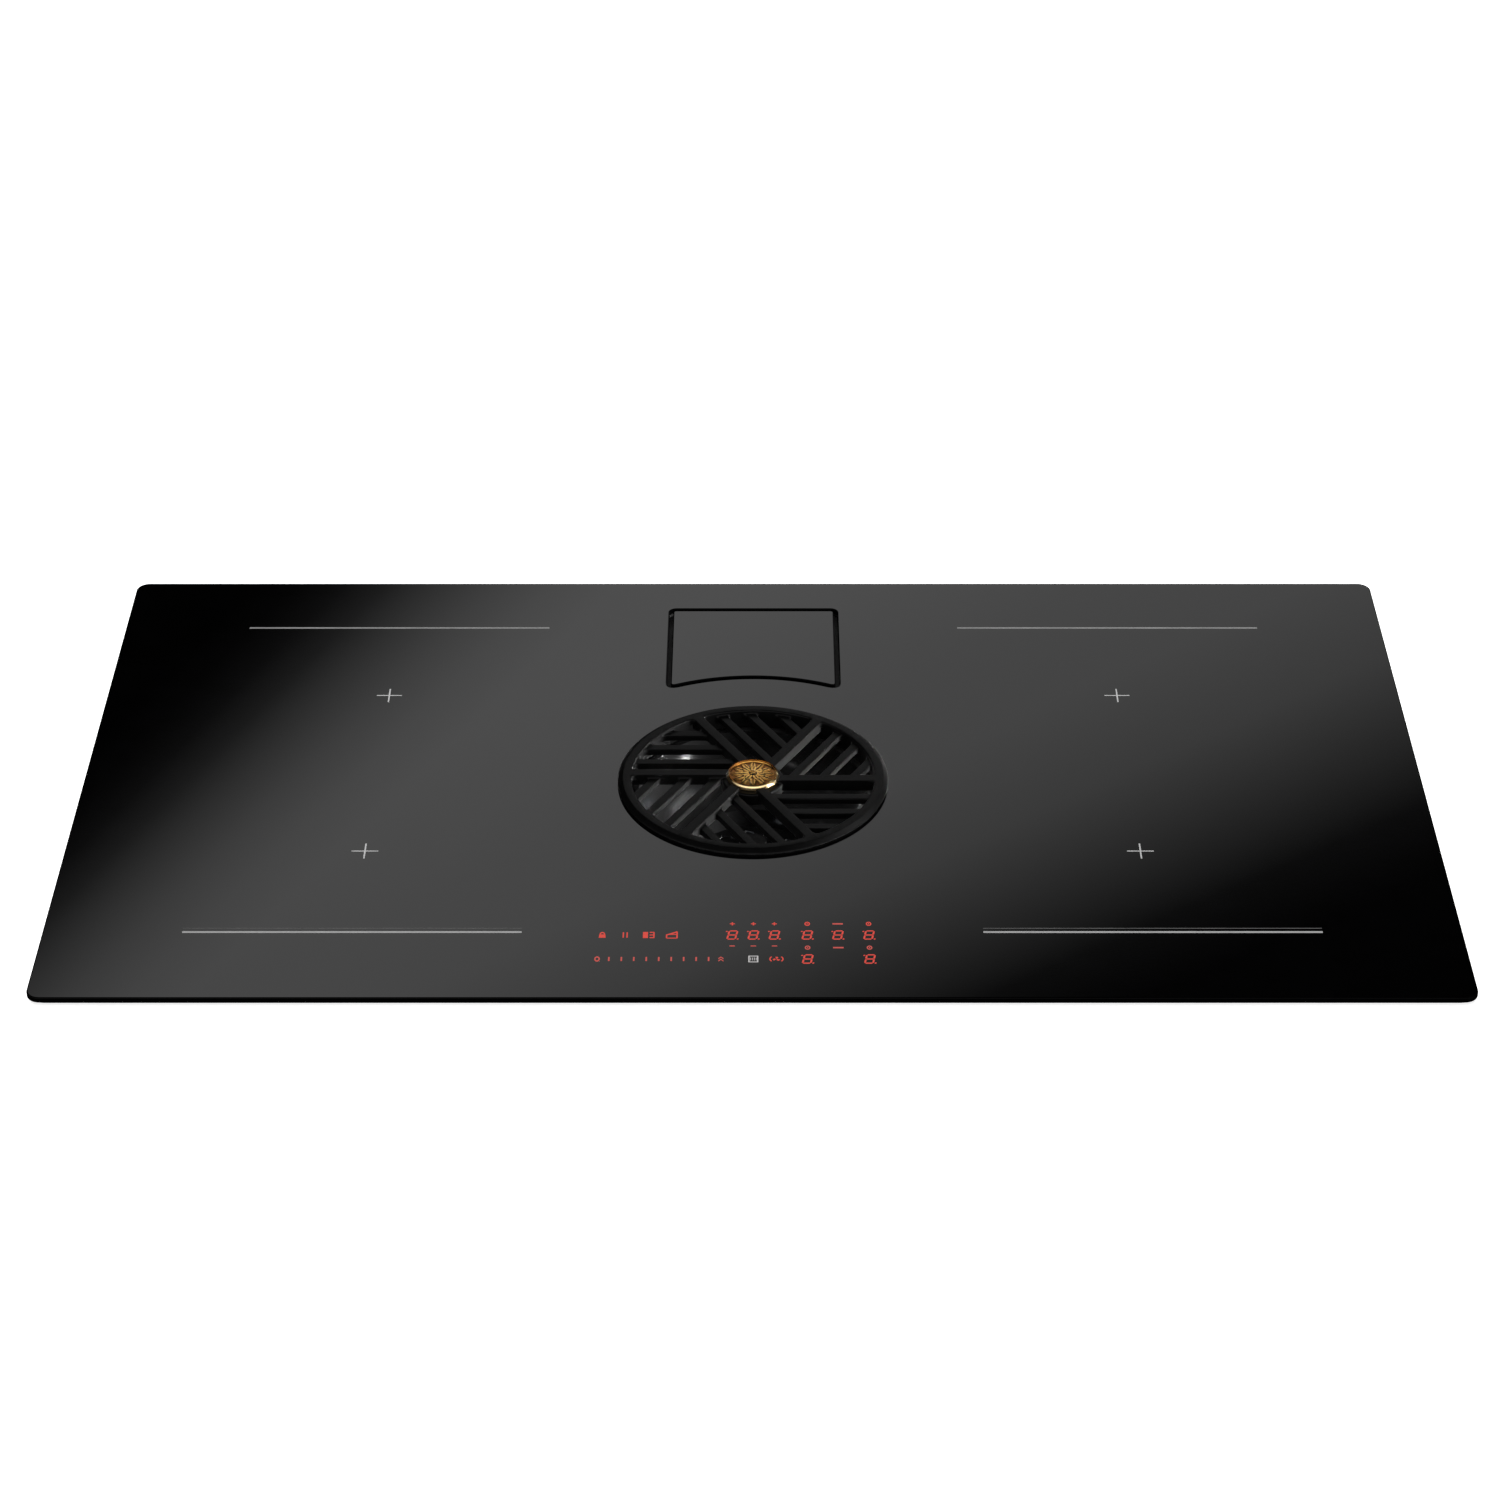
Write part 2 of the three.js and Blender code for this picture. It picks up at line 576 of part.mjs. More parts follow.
function makeMedal() {
  const { bezelR, innerR, discR, height, discThick } = MEDAL;
  const top = MEDAL_Z + height;
  const bezel = turned(
    [
      [innerR, MEDAL_Z],
      [bezelR - 0.5, MEDAL_Z],
      [bezelR, MEDAL_Z + 0.6],
      [bezelR, top - 1.5],
      [bezelR - 0.3, top - 0.5],
      [bezelR - 0.9, top],
      [innerR, top - 0.4],
    ],
    0,
    AXIS_Y,
    48,
  );
  add("medal_bezel", bezel, "brass");
  const disc = join(
    drum(0, AXIS_Y, discR, MEDAL_Z, MEDAL_Z + discThick, 48),
    drum(0, AXIS_Y, discR - 4, MEDAL_Z + 1, top, 48),
  );
  add("medal_disc", disc, "brass");
}

// ---------------------------------------------------------------- well and filter

function makeWell() {
  const { inner, wall, seatR, seatZ, bottomZ, flangeR } = WELL;
  const well = turned(
    [
      [inner, bottomZ],
      [inner + wall, bottomZ],
      [inner + wall, seatZ - 4],
      [seatR + wall, seatZ - 2],
      [seatR + wall, UNDER_GLASS - 2.2],
      [flangeR, UNDER_GLASS - 2.2],
      [flangeR, UNDER_GLASS],
      [seatR, UNDER_GLASS],
      [seatR, seatZ],
      [inner, seatZ],
    ],
    0,
    AXIS_Y,
  );
  add("intake_well", well, "blackPlastic");
}

/** The bowl's curve as [radius, z] points, level at its neck and upright at its rim. */
function bowlCurve(neck, outer, low, high) {
  const steps = 6;
  return Array.from({ length: steps + 1 }, (_, i) => {
    const a = (i * Math.PI) / 2 / steps;
    return [neck + (outer - neck) * Math.sin(a), high - (high - low) * Math.cos(a)];
  });
}

function makeFilter() {
  const { outer, neck, wall, rimR, neckZ, bottomZ, ledge } = BOWL;
  const rimZ = WELL.seatZ + GAP;
  const foot = bottomZ + wall;
  const bowl = turned(
    [
      [neck - ledge, bottomZ],
      [neck, bottomZ],
      ...bowlCurve(neck, outer, neckZ, rimZ - 1),
      [outer, rimZ],
      [rimR, rimZ],
      [rimR, rimZ + wall],
      [outer - wall, rimZ + wall],
      ...bowlCurve(neck - wall, outer - wall, neckZ + wall, rimZ - 1).reverse(),
      [neck - wall, foot],
      [neck - ledge, foot],
    ],
    0,
    AXIS_Y,
    44,
  );
  add("filter_bowl", bowl, "enamel");

  // A round screen with rings of six-sided holes lies on the ledge at the bowl's neck.
  const meshZ = foot + GAP;
  const screenTop = meshZ + SCREEN.thick;
  const { holeR } = SCREEN;
  const screen = circle(0, AXIS_Y, neck - wall - SCREEN.play);
  for (const [ring, count] of SCREEN.rings)
    for (let i = 0; i < count; i++) {
      const a = ((i + 0.5) * 2 * Math.PI) / count;
      const x = ring * Math.cos(a);
      const y = AXIS_Y + ring * Math.sin(a);
      const corners = Array.from({ length: 6 }, (_, k) => {
        const b = a + (k * Math.PI) / 3;
        return new THREE.Vector2(x + holeR * Math.cos(b), y + holeR * Math.sin(b));
      });
      screen.holes.push(new THREE.Path(corners));
    }
  add("filter_screen", prism(screen, meshZ, screenTop), "steel");

  const knobZ = screenTop + GAP;
  const knob = join(
    drum(0, AXIS_Y, KNOB.stemR, knobZ, knobZ + KNOB.headZ + 2, 16),
    drum(0, AXIS_Y, KNOB.footR, knobZ, knobZ + KNOB.foot),
    drum(0, AXIS_Y, KNOB.headR, knobZ + KNOB.headZ, knobZ + KNOB.height),
  );
  add("filter_knob", knob, "blackPlastic");
}

// ---------------------------------------------------------------- fan box

function makeFanBox() {
  const { x, y0, y1, top, wall, corner } = BOX;
  const hull = prism(rounded(-x, y0, x, y1, corner), 0, top, 3);
  const inside = rounded(-x + wall, y0 + wall, x - wall, y1 - wall, corner - wall);
  const room = prism(inside, wall, top + 5, 3);
  const tankDoor = box(-TANK.x - 1, TANK.x + 1, y0 - 5, y0 + 5, TANK.z0 - 1, TANK.z1 + 1);
  const ductDoor = box(
    -DUCT.width / 2 + DUCT.wall,
    DUCT.width / 2 - DUCT.wall,
    y1 - 5,
    y1 + 5,
    DUCT.z + DUCT.wall,
    DUCT.z + DUCT.height - DUCT.wall,
  );
  const shell = cut(hull, room, tankDoor, ductDoor);
  const railTop = TANK.z0 - GAP;
  const inX = x - wall + 1;
  const rails = SIDES.map(([, s]) => {
    const railX = s * TANK_RAIL.x;
    const half = TANK_RAIL.width / 2;
    return box(railX - half, railX + half, y0 + 1, BAY_WALL.y + 1, 1, railTop);
  });
  const bayWall = box(-inX, inX, BAY_WALL.y, BAY_WALL.y + BAY_WALL.thick, 1, DECK_Z - GAP);
  add("fan_box", join(shell, bayWall, ...rails), "blackPlastic");

  const cover = prism(rounded(-x, y0, x, y1, corner), top + GAP, TRAY.z - GAP, 3);
  const wellHole = drum(0, AXIS_Y, WELL.inner + WELL.wall + 0.6, top - 5, TRAY.z + 5, 48);
  add("fan_box_cover", cut(cover, wellHole), "blackPlastic");

  const deck = rounded(-x + wall + GAP, y0 + wall + GAP, x - wall - GAP, y1 - wall - GAP, 5);
  const drop = DECK_HOLE;
  deck.holes.push(rounded(-drop.x, drop.y0, drop.x, drop.y1, drop.corner, THREE.Path));
  deck.holes.push(circle(0, FAN.y, FAN.eye + 2, THREE.Path));
  add("air_deck", prism(deck, DECK_Z, DECK_Z + DECK_THICK, 3), "blackPlastic");
}

/** A blade that leans back as it goes out, as a bent strip between two radii. */
function fanBlade(r0, r1, sweep, thick, z0, z1) {
  const steps = 4;
  const edge = (shift) =>
    Array.from({ length: steps + 1 }, (_, i) => {
      const t = i / steps;
      const r = r0 + (r1 - r0) * t;
      const a = -sweep * t + shift / r;
      return [r * Math.cos(a), r * Math.sin(a)];
    });
  return prism(polygon([...edge(-thick / 2), ...edge(thick / 2).reverse()]), z0, z1);
}

/** A wall of even thickness along a line of points, to the left of the way it runs. */
function wallAlong(points, thick, z0, z1) {
  const side = points.map(([x, y], i) => {
    const [ax, ay] = points[Math.max(i - 1, 0)];
    const [bx, by] = points[Math.min(i + 1, points.length - 1)];
    const length = Math.hypot(bx - ax, by - ay);
    return [x - (thick * (by - ay)) / length, y + (thick * (bx - ax)) / length];
  });
  return prism(polygon([...points, ...side.reverse()]), z0, z1);
}

/** The spiral wall round the impeller, which widens to the duct's mouth at the back. */
function makeScroll() {
  const { start, grow, tongue, wall } = SCROLL;
  const first = (tongue * Math.PI) / 180;
  const steps = 26;
  const spiral = Array.from({ length: steps + 1 }, (_, i) => {
    const turn = ((2 * Math.PI - first) * i) / steps;
    const r = start + grow * turn;
    return [r * Math.cos(first + turn), FAN.y + r * Math.sin(first + turn)];
  });
  const mouthX = DUCT.width / 2 - 1;
  const backY = BOX.y1 - BOX.wall - GAP;
  const path = [[-mouthX, backY], [-58, backY - 10], ...spiral, [mouthX, backY]];
  const scroll = wallAlong(path.reverse(), wall, BOX.wall + GAP, DECK_Z - GAP);
  add("fan_scroll", scroll, "blackPlastic");
}

function makeFan() {
  const { y, outer, eye, z0, z1, blades, shaftR } = FAN;
  const plate = 2.5;
  const impeller = join(
    drum(0, 0, outer, z0, z0 + plate, 36),
    turned(
      [
        [eye, z1 - plate],
        [outer, z1 - plate],
        [outer, z1],
        [eye, z1],
      ],
      0,
      0,
      36,
    ),
    ...Array.from({ length: blades }, (_, i) =>
      fanBlade(34, outer - 1, 0.75, 2.4, z0 + 1, z1 - 1).rotateZ((i * 2 * Math.PI) / blades),
    ),
    drum(0, 0, 14, z0, z0 + 28, 24),
  );
  const bored = cut(impeller, drum(0, 0, shaftR + GAP, z0 - 5, z0 + 40, 16));
  add("impeller", bored.translate(0, y, 0), "greyPlastic");

  const floor = BOX.wall + GAP;
  const stator = cut(
    join(drum(0, 0, 36, floor, floor + 4, 32), drum(0, 0, 27, floor, z0 - 3, 32)),
    drum(0, 0, shaftR + 0.5, floor + 6, z0 + 5, 16),
  );
  add("motor_stator", stator.translate(0, y, 0), "steel");
  add("motor_shaft", drum(0, y, shaftR, floor + 7, z0 + 34, 16), "steel");

  const ring = turned(
    [
      [eye - 5, z1 + 0.8],
      [eye - 3, z1 + 0.8],
      [eye - 3, DECK_Z + DECK_THICK + GAP],
      [eye + 14, DECK_Z + DECK_THICK + GAP],
      [eye + 14, DECK_Z + DECK_THICK + 2.3],
      [eye, DECK_Z + DECK_THICK + 5],
      [eye - 5, DECK_Z + DECK_THICK + 1],
    ],
    0,
    y,
    36,
  );
  add("inlet_ring", ring, "blackPlastic");
}

function makeDuct() {
  const { width, height, z, wall, length, flange } = DUCT;
  const half = width / 2;
  const y0 = BOX.y1 + GAP;
  const spigot = cut(
    join(
      box(-half, half, y0, y0 + length, z, z + height),
      box(-half - flange, half + flange, y0, y0 + 2.5, 1, z + height + flange),
    ),
    box(-half + wall, half - wall, y0 - 5, y0 + length + 5, z + wall, z + height - wall),
  );
  add("duct_spigot", spigot, "blackPlastic");
}

function makeTank() {
  const { x, y0, y1, z0, z1, wall } = TANK;
  const front = TANK_FRONT;
  const pull = TANK_PULL;
  const pullY = y0 - pull.reach;
  const gripX = pull.x - 2 * pull.wall;
  const tank = cut(
    join(
      box(-x, x, y0 - 1, y1, z0, z1),
      box(-front.x, front.x, y0 - front.thick, y0 - GAP, front.z0, front.z1),
      box(-pull.x, pull.x, pullY, y0 - 2, pull.z0, pull.z1),
    ),
    box(-x + wall, x - wall, y0 + wall, y1 - wall, z0 + wall, z1 + 5),
    box(-gripX, gripX, pullY + pull.wall, y0 - 2 * pull.wall, pull.z0 - 5, pull.z1 - pull.wall),
  );
  add("spill_tank", tank, "clearPlastic");
}

// ---------------------------------------------------------------- the whole hob

makeGlass();
makeTray();
makeClamps();
makeCoils();
SIDES.forEach(makeSidePack);
SIDES.forEach(makeCooler);
makeControls();
makeMains();
makeScale();
makeGrille();
makeMedal();
makeWell();
makeFilter();
makeFanBox();
makeFan();
makeScroll();
makeDuct();
makeTank();

export default group;
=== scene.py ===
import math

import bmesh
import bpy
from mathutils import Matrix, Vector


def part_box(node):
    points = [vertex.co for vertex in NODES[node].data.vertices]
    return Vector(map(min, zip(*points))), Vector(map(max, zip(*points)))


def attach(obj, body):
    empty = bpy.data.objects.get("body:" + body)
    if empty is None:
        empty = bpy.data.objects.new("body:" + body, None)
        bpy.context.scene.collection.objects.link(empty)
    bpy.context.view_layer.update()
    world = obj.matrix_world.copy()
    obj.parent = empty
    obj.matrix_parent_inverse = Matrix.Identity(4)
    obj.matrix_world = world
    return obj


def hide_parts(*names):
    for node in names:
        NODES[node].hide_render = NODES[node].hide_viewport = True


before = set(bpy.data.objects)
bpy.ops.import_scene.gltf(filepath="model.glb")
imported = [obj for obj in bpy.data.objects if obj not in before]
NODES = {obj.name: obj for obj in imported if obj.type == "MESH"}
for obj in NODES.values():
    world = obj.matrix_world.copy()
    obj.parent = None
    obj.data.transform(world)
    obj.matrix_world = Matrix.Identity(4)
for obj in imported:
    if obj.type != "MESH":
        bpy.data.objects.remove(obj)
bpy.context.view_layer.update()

# A built-in induction hob with an extractor in its middle, seen from the front and above.
#
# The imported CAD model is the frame. What shows from above is modelled again here with its fine
# shape: the glass with its polished edges, the print, the lit controls, the grille and its medal,
# the filter's bowl and the well that holds it. The rest keeps its CAD shape, with soft edges and
# materials of its own, and screws, guards, ribs and a type plate are added to it.

MM = 0.001

# ------------------------------------------------------------------ places, from the frame

GLASS_LO, GLASS_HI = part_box("glass_top")
GLASS_TOP = GLASS_HI[2]
GRILLE_LO, GRILLE_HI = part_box("grille")
AXIS_Y = (GRILLE_LO[1] + GRILLE_HI[1]) / 2
GRILLE_TOP = GRILLE_HI[2]
SCALE_LO, SCALE_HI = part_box("scale_plate")
WORKTOP_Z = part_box("glass_seal")[0][2]
PRINT_LIFT = 0.02 * MM
PRINT_THICK = 0.03 * MM
FLAT_FACE = 0.999
FACE_SHINE, EDGE_SHINE = 0.50, 0.04
GRAIN_LOW, GRAIN_HIGH = 0.3, 0.7
DOME_R, DOME_LIGHT = 5.2, 1.7
# The soft card's brightness along two slanting directions, as (distance in metres, brightness).
CARD_LEFT_FADE = [(1.28, 0.0), (1.36, 0.012), (1.445, 0.05), (1.525, 0.15), (1.615, 0.38), (1.73, 0.67),
                  (1.84, 0.88), (1.96, 1.0), (2.17, 0.97), (2.48, 0.88), (2.83, 0.76), (4.56, 0.33)]
CARD_RIGHT_FADE = [(1.80, 0.70), (2.42, 0.90), (2.74, 0.92), (2.96, 0.98), (3.20, 0.84), (3.42, 0.42),
                   (3.60, 0.085), (3.78, 0.012), (4.2, 0.0)]


# ------------------------------------------------------------------ node materials

class Nodes:
    """A short way to build a material's node tree round one Principled shader."""

    def __init__(self, name):
        self.mat = bpy.data.materials.new(name)
        self.mat.use_nodes = True
        self.tree = self.mat.node_tree
        self.shader = self.tree.nodes["Principled BSDF"]
        self.coords = self.node("ShaderNodeTexCoord").outputs["Object"]

    def node(self, kind, **values):
        made = self.tree.nodes.new(kind)
        for key, value in values.items():
            setattr(made, key, value)
        return made

    def link(self, source, target):
        self.tree.links.new(source, target)

    def fixed(self, **values):
        for key, value in values.items():
            self.shader.inputs[key.replace("_", " ")].default_value = value
        return self

    def stretched(self, scale):
        mapping = self.node("ShaderNodeMapping")
        mapping.inputs["Scale"].default_value = scale
        self.link(self.coords, mapping.inputs["Vector"])
        return mapping.outputs["Vector"]

    def noise(self, scale, detail=4.0, vector=None):
        made = self.node("ShaderNodeTexNoise")
        made.inputs["Scale"].default_value = scale
        made.inputs["Detail"].default_value = detail
        self.link(vector or self.coords, made.inputs["Vector"])
        return made.outputs["Fac"]

    def ramp(self, source, stops):
        made = self.node("ShaderNodeValToRGB")
        elements = made.color_ramp.elements
        while len(elements) < len(stops):
            elements.new(0.5)
        for element, (position, color) in zip(elements, stops):
            element.position = position
            element.color = (*color, 1) if len(color) == 3 else color
        self.link(source, made.inputs["Fac"])
        return made.outputs["Color"]

    def tones(self, grain, dark, light):
        """grain, a noise or cells, as a colour from dark to light."""
        return self.ramp(grain, [(GRAIN_LOW, dark), (GRAIN_HIGH, light)])

    def between(self, grain, low, high):
        """grain, a noise or cells, as a number from low to high."""
        made = self.node("ShaderNodeMapRange")
        made.inputs["From Min"].default_value = GRAIN_LOW
        made.inputs["From Max"].default_value = GRAIN_HIGH
        made.inputs["To Min"].default_value = low
        made.inputs["To Max"].default_value = high
        self.link(grain, made.inputs["Value"])
        return made.outputs["Result"]

    def spanned(self, source, low, high):
        """source as 0 at low and 1 at high."""
        made = self.node("ShaderNodeMapRange")
        made.inputs["From Min"].default_value = low
        made.inputs["From Max"].default_value = high
        self.link(source, made.inputs["Value"])
        return made.outputs["Result"]

    def math(self, operation, *terms):
        """A Math node, whose terms are numbers or other nodes' outputs."""
        made = self.node("ShaderNodeMath", operation=operation)
        for term, held in zip(terms, made.inputs):
            if isinstance(term, float):
                held.default_value = term
            else:
                self.link(term, held)
        return made.outputs[0]

    def bump(self, height, distance):
        made = self.node("ShaderNodeBump")
        made.inputs["Distance"].default_value = distance
        self.link(height, made.inputs["Height"])
        self.link(made.outputs["Normal"], self.shader.inputs["Normal"])


def grey(value):
    return (value,) * 3


def varied(name, dark, light, rough, grain, depth, stretch=None, **fixed):
    """A surface whose colour, roughness and height all vary a little with one grain of noise."""
    n = Nodes(name).fixed(**fixed)
    vector = n.stretched(stretch) if stretch else None
    fine = n.noise(grain, 5.0, vector)
    broad = n.noise(grain / 14, 2.0, vector)
    n.link(n.tones(broad, dark, light), n.shader.inputs["Base Color"])
    n.link(n.between(fine, rough[0], rough[1]), n.shader.inputs["Roughness"])
    n.bump(fine, depth)
    return n.mat


def make_materials():
    return {
        "glass": polished_glass(),
        "print": varied("pale_print", grey(0.17), grey(0.21), (0.5, 0.65), 900, 0.0),
        "print_front": varied("front_print", grey(0.26), grey(0.29), (0.5, 0.65), 900, 0.0),
        "print_bright": varied("bright_print", grey(0.34), grey(0.42), (0.5, 0.65), 900, 0.0),
        "print_faint": varied("faint_print", grey(0.06), grey(0.085), (0.4, 0.6), 900, 0.0),
        "red_light": lit_material("red_light", (0.74, 0.075, 0.055), 0.95),
        "pink_light": lit_material("pink_light", (0.62, 0.10, 0.085), 0.9),
        "white_light": lit_material("white_light", (0.62, 0.62, 0.62), 0.9),
        "casting": varied("satin_black_casting", grey(0.0006), grey(0.0012), (0.34, 0.44), 1500, 0.02 * MM,
                          Specular_IOR_Level=0.14),
        "enamel": varied("black_enamel", grey(0.0075), grey(0.01), (0.14, 0.2), 60, 0.0),
        "brass_rim": varied("polished_brass", (0.82, 0.60, 0.30), (0.90, 0.68, 0.38), (0.14, 0.24), 700,
                            0.004 * MM, Metallic=1.0),
        "brass_relief_painted_shade": brass_with_painted_relief_shade(),
        "zinc": spangled_zinc(),
        "aluminium": varied("rolled_aluminium", grey(0.46), grey(0.58), (0.28, 0.42), 500, 0.01 * MM,
                            (0.06, 1, 1), Metallic=1.0),
        "steel": varied("brushed_stainless", grey(0.30), grey(0.38), (0.22, 0.36), 700, 0.008 * MM,
                        (0.05, 1, 1), Metallic=1.0),
        "black_plastic": varied("black_moulding", grey(0.007), grey(0.011), (0.42, 0.58), 1800, 0.03 * MM),
        "grey_plastic": varied("grey_moulding", (0.04, 0.042, 0.045), (0.052, 0.055, 0.058), (0.5, 0.65),
                               1500, 0.03 * MM),
        "tank_plastic": varied("grey_tank", (0.10, 0.11, 0.12), (0.14, 0.15, 0.16), (0.25, 0.38), 900,
                               0.02 * MM),
        "foam": varied("closed_cell_foam", grey(0.008), grey(0.016), (0.85, 0.98), 2600, 0.2 * MM),
        "silicone": varied("black_silicone", grey(0.002), grey(0.004), (0.55, 0.7), 1200, 0.01 * MM),
        "copper": copper_winding(),
        "mica": varied("pressed_mica", (0.36, 0.29, 0.17), (0.5, 0.42, 0.28), (0.4, 0.7), 260, 0.02 * MM),
        "board": circuit_board(),
        "lacquered_steel": varied("dark_fastener", grey(0.05), grey(0.09), (0.3, 0.45), 900, 0.01 * MM,
                                  Metallic=1.0),
    }


def lit_material(name, color, strength):
    n = Nodes(name).fixed(Roughness=0.5, Emission_Strength=strength)
    glow = n.ramp(n.noise(350, 2.0), [(0.25, tuple(0.86 * c for c in color)), (0.75, color)])
    n.link(glow, n.shader.inputs["Emission Color"])
    n.link(n.tones(n.noise(350, 2.0), (0.01, 0.002, 0.002), (0.02, 0.003, 0.003)),
           n.shader.inputs["Base Color"])
    return n.mat


def polished_glass():
    """Black glass with a polished face and dark ground edges."""
    n = Nodes("black_glass").fixed(IOR=1.5)
    smears = n.noise(40, 5.0)
    n.link(n.tones(smears, grey(0.0003), (0.0005, 0.0005, 0.0006)), n.shader.inputs["Base Color"])
    split = n.node("ShaderNodeSeparateXYZ")
    n.link(n.node("ShaderNodeNewGeometry").outputs["True Normal"], split.inputs[0])
    face = n.spanned(split.outputs["Z"], 0.98, FLAT_FACE)
    n.link(n.math("MULTIPLY_ADD", face, FACE_SHINE - EDGE_SHINE, EDGE_SHINE),
           n.shader.inputs["Specular IOR Level"])
    n.link(n.between(smears, 0.012, 0.03), n.shader.inputs["Roughness"])
    return n.mat


def brass_with_painted_relief_shade():
    """Painted shade in the hollows of the relief and a painted highlight on its high parts: the colour runs
    from dark to light with height, over a domed ground.
    """
    n = Nodes("brass_with_painted_relief_shade").fixed(Metallic=1.0)
    split = n.node("ShaderNodeSeparateXYZ")
    n.link(n.coords, split.inputs[0])
    from_axis = n.node("ShaderNodeCombineXYZ")
    n.link(split.outputs["X"], from_axis.inputs[0])
    n.link(n.math("SUBTRACT", split.outputs["Y"], AXIS_Y), from_axis.inputs[1])
    squared = n.node("ShaderNodeVectorMath", operation="DOT_PRODUCT")
    n.link(from_axis.outputs[0], squared.inputs[0])
    n.link(from_axis.outputs[0], squared.inputs[1])
    level = n.math("MULTIPLY_ADD", squared.outputs["Value"], MEDAL_DOME / MEDAL_R ** 2, split.outputs["Z"])
    ground = MEDAL_FLOOR + MEDAL_DOME
    height = n.spanned(level, ground, ground + MEDAL_RELIEF)
    # painted shade and highlight: dark brown deep in the relief, pale gold on its high parts, standing in
    # for how light falls on it
    tone = n.ramp(height, [(0.0, (0.24, 0.09, 0.012)), (0.3, (0.52, 0.25, 0.045)), (1.0, (0.95, 0.62, 0.2))])
    mottle = n.node("ShaderNodeMix", data_type="RGBA", blend_type="MULTIPLY")
    mottle.inputs["Factor"].default_value = 1.0
    n.link(tone, mottle.inputs["A"])
    n.link(n.tones(n.noise(420, 3.0), (0.7, 0.6, 0.45), grey(1.0)), mottle.inputs["B"])
    n.link(mottle.outputs["Result"], n.shader.inputs["Base Color"])
    n.link(n.between(n.noise(1800), 0.13, 0.26), n.shader.inputs["Roughness"])
    return n.mat


def spangled_zinc():
    n = Nodes("galvanised_sheet").fixed(Metallic=1.0)
    cells = n.node("ShaderNodeTexVoronoi")
    cells.inputs["Scale"].default_value = 130
    n.link(n.coords, cells.inputs["Vector"])
    split = n.node("ShaderNodeSeparateColor")
    n.link(cells.outputs["Color"], split.inputs[0])
    shade = n.ramp(split.outputs[0], [(0.0, (0.33, 0.35, 0.36)), (1.0, (0.50, 0.52, 0.53))])
    n.link(shade, n.shader.inputs["Base Color"])
    n.link(n.between(split.outputs[1], 0.32, 0.5), n.shader.inputs["Roughness"])
    n.bump(n.noise(240), 0.01 * MM)
    return n.mat


def copper_winding():
    """Fine copper strands, which show in colour and height."""
    n = Nodes("copper_litz").fixed(Metallic=0.9)
    strands = n.noise(2400, 3.0, n.stretched((1, 1, 0.2)))
    n.link(n.tones(strands, (0.26, 0.08, 0.02), (0.48, 0.19, 0.06)), n.shader.inputs["Base Color"])
    n.link(n.between(strands, 0.3, 0.5), n.shader.inputs["Roughness"])
    n.bump(strands, 0.15 * MM)
    return n.mat


def circuit_board():
    n = Nodes("solder_mask").fixed(Coat_Weight=0.4)
    cells = n.node("ShaderNodeTexBrick")
    cells.inputs["Scale"].default_value = 90
    cells.inputs["Color1"].default_value = (0.010, 0.085, 0.028, 1)
    cells.inputs["Color2"].default_value = (0.014, 0.105, 0.036, 1)
    cells.inputs["Mortar"].default_value = (0.008, 0.055, 0.02, 1)
    cells.inputs["Mortar Size"].default_value = 0.04
    n.link(n.coords, cells.inputs["Vector"])
    n.link(cells.outputs["Color"], n.shader.inputs["Base Color"])
    n.link(n.between(n.noise(600), 0.3, 0.5), n.shader.inputs["Roughness"])
    return n.mat


# ------------------------------------------------------------------ mesh helpers

def to_object(bm, name, material, smooth_angle=None):
    bmesh.ops.recalc_face_normals(bm, faces=bm.faces)
    mesh = bpy.data.meshes.new(name)
    bm.to_mesh(mesh)
    bm.free()
    return place(mesh, name, material, smooth_angle)


def place(mesh, name, material, smooth_angle=None):
    obj = bpy.data.objects.new(name, mesh)
    bpy.context.scene.collection.objects.link(obj)
    mesh.materials.clear()
    mesh.materials.append(material)
    if smooth_angle is not None:
        shade_smooth(mesh, smooth_angle)
    return obj


def shade_smooth(mesh, angle):
    mesh.shade_smooth()
    mesh.set_sharp_from_angle(angle=math.radians(angle))


def applied(obj):
    """obj's mesh with its modifiers applied, in place of its own."""
    depsgraph = bpy.context.evaluated_depsgraph_get()
    mesh = bpy.data.meshes.new_from_object(obj.evaluated_get(depsgraph))
    obj.modifiers.clear()
    old = obj.data
    obj.data = mesh
    bpy.data.meshes.remove(old)
    return obj


def arc(cx, cy, r, start, end, steps):
    """Points on a circle from start to end, in degrees."""
    angles = [math.radians(start + (end - start) * i / steps) for i in range(steps + 1)]
    return [(cx + r * math.cos(a), cy + r * math.sin(a)) for a in angles]


def ring(cx, cy, r, steps=96):
    return arc(cx, cy, r, 0, 360, steps)[:-1]


def round_rect(x0, y0, x1, y1, r, steps=8):
    return (arc(x1 - r, y0 + r, r, -90, 0, steps) + arc(x1 - r, y1 - r, r, 0, 90, steps)
            + arc(x0 + r, y1 - r, r, 90, 180, steps) + arc(x0 + r, y0 + r, r, 180, 270, steps))


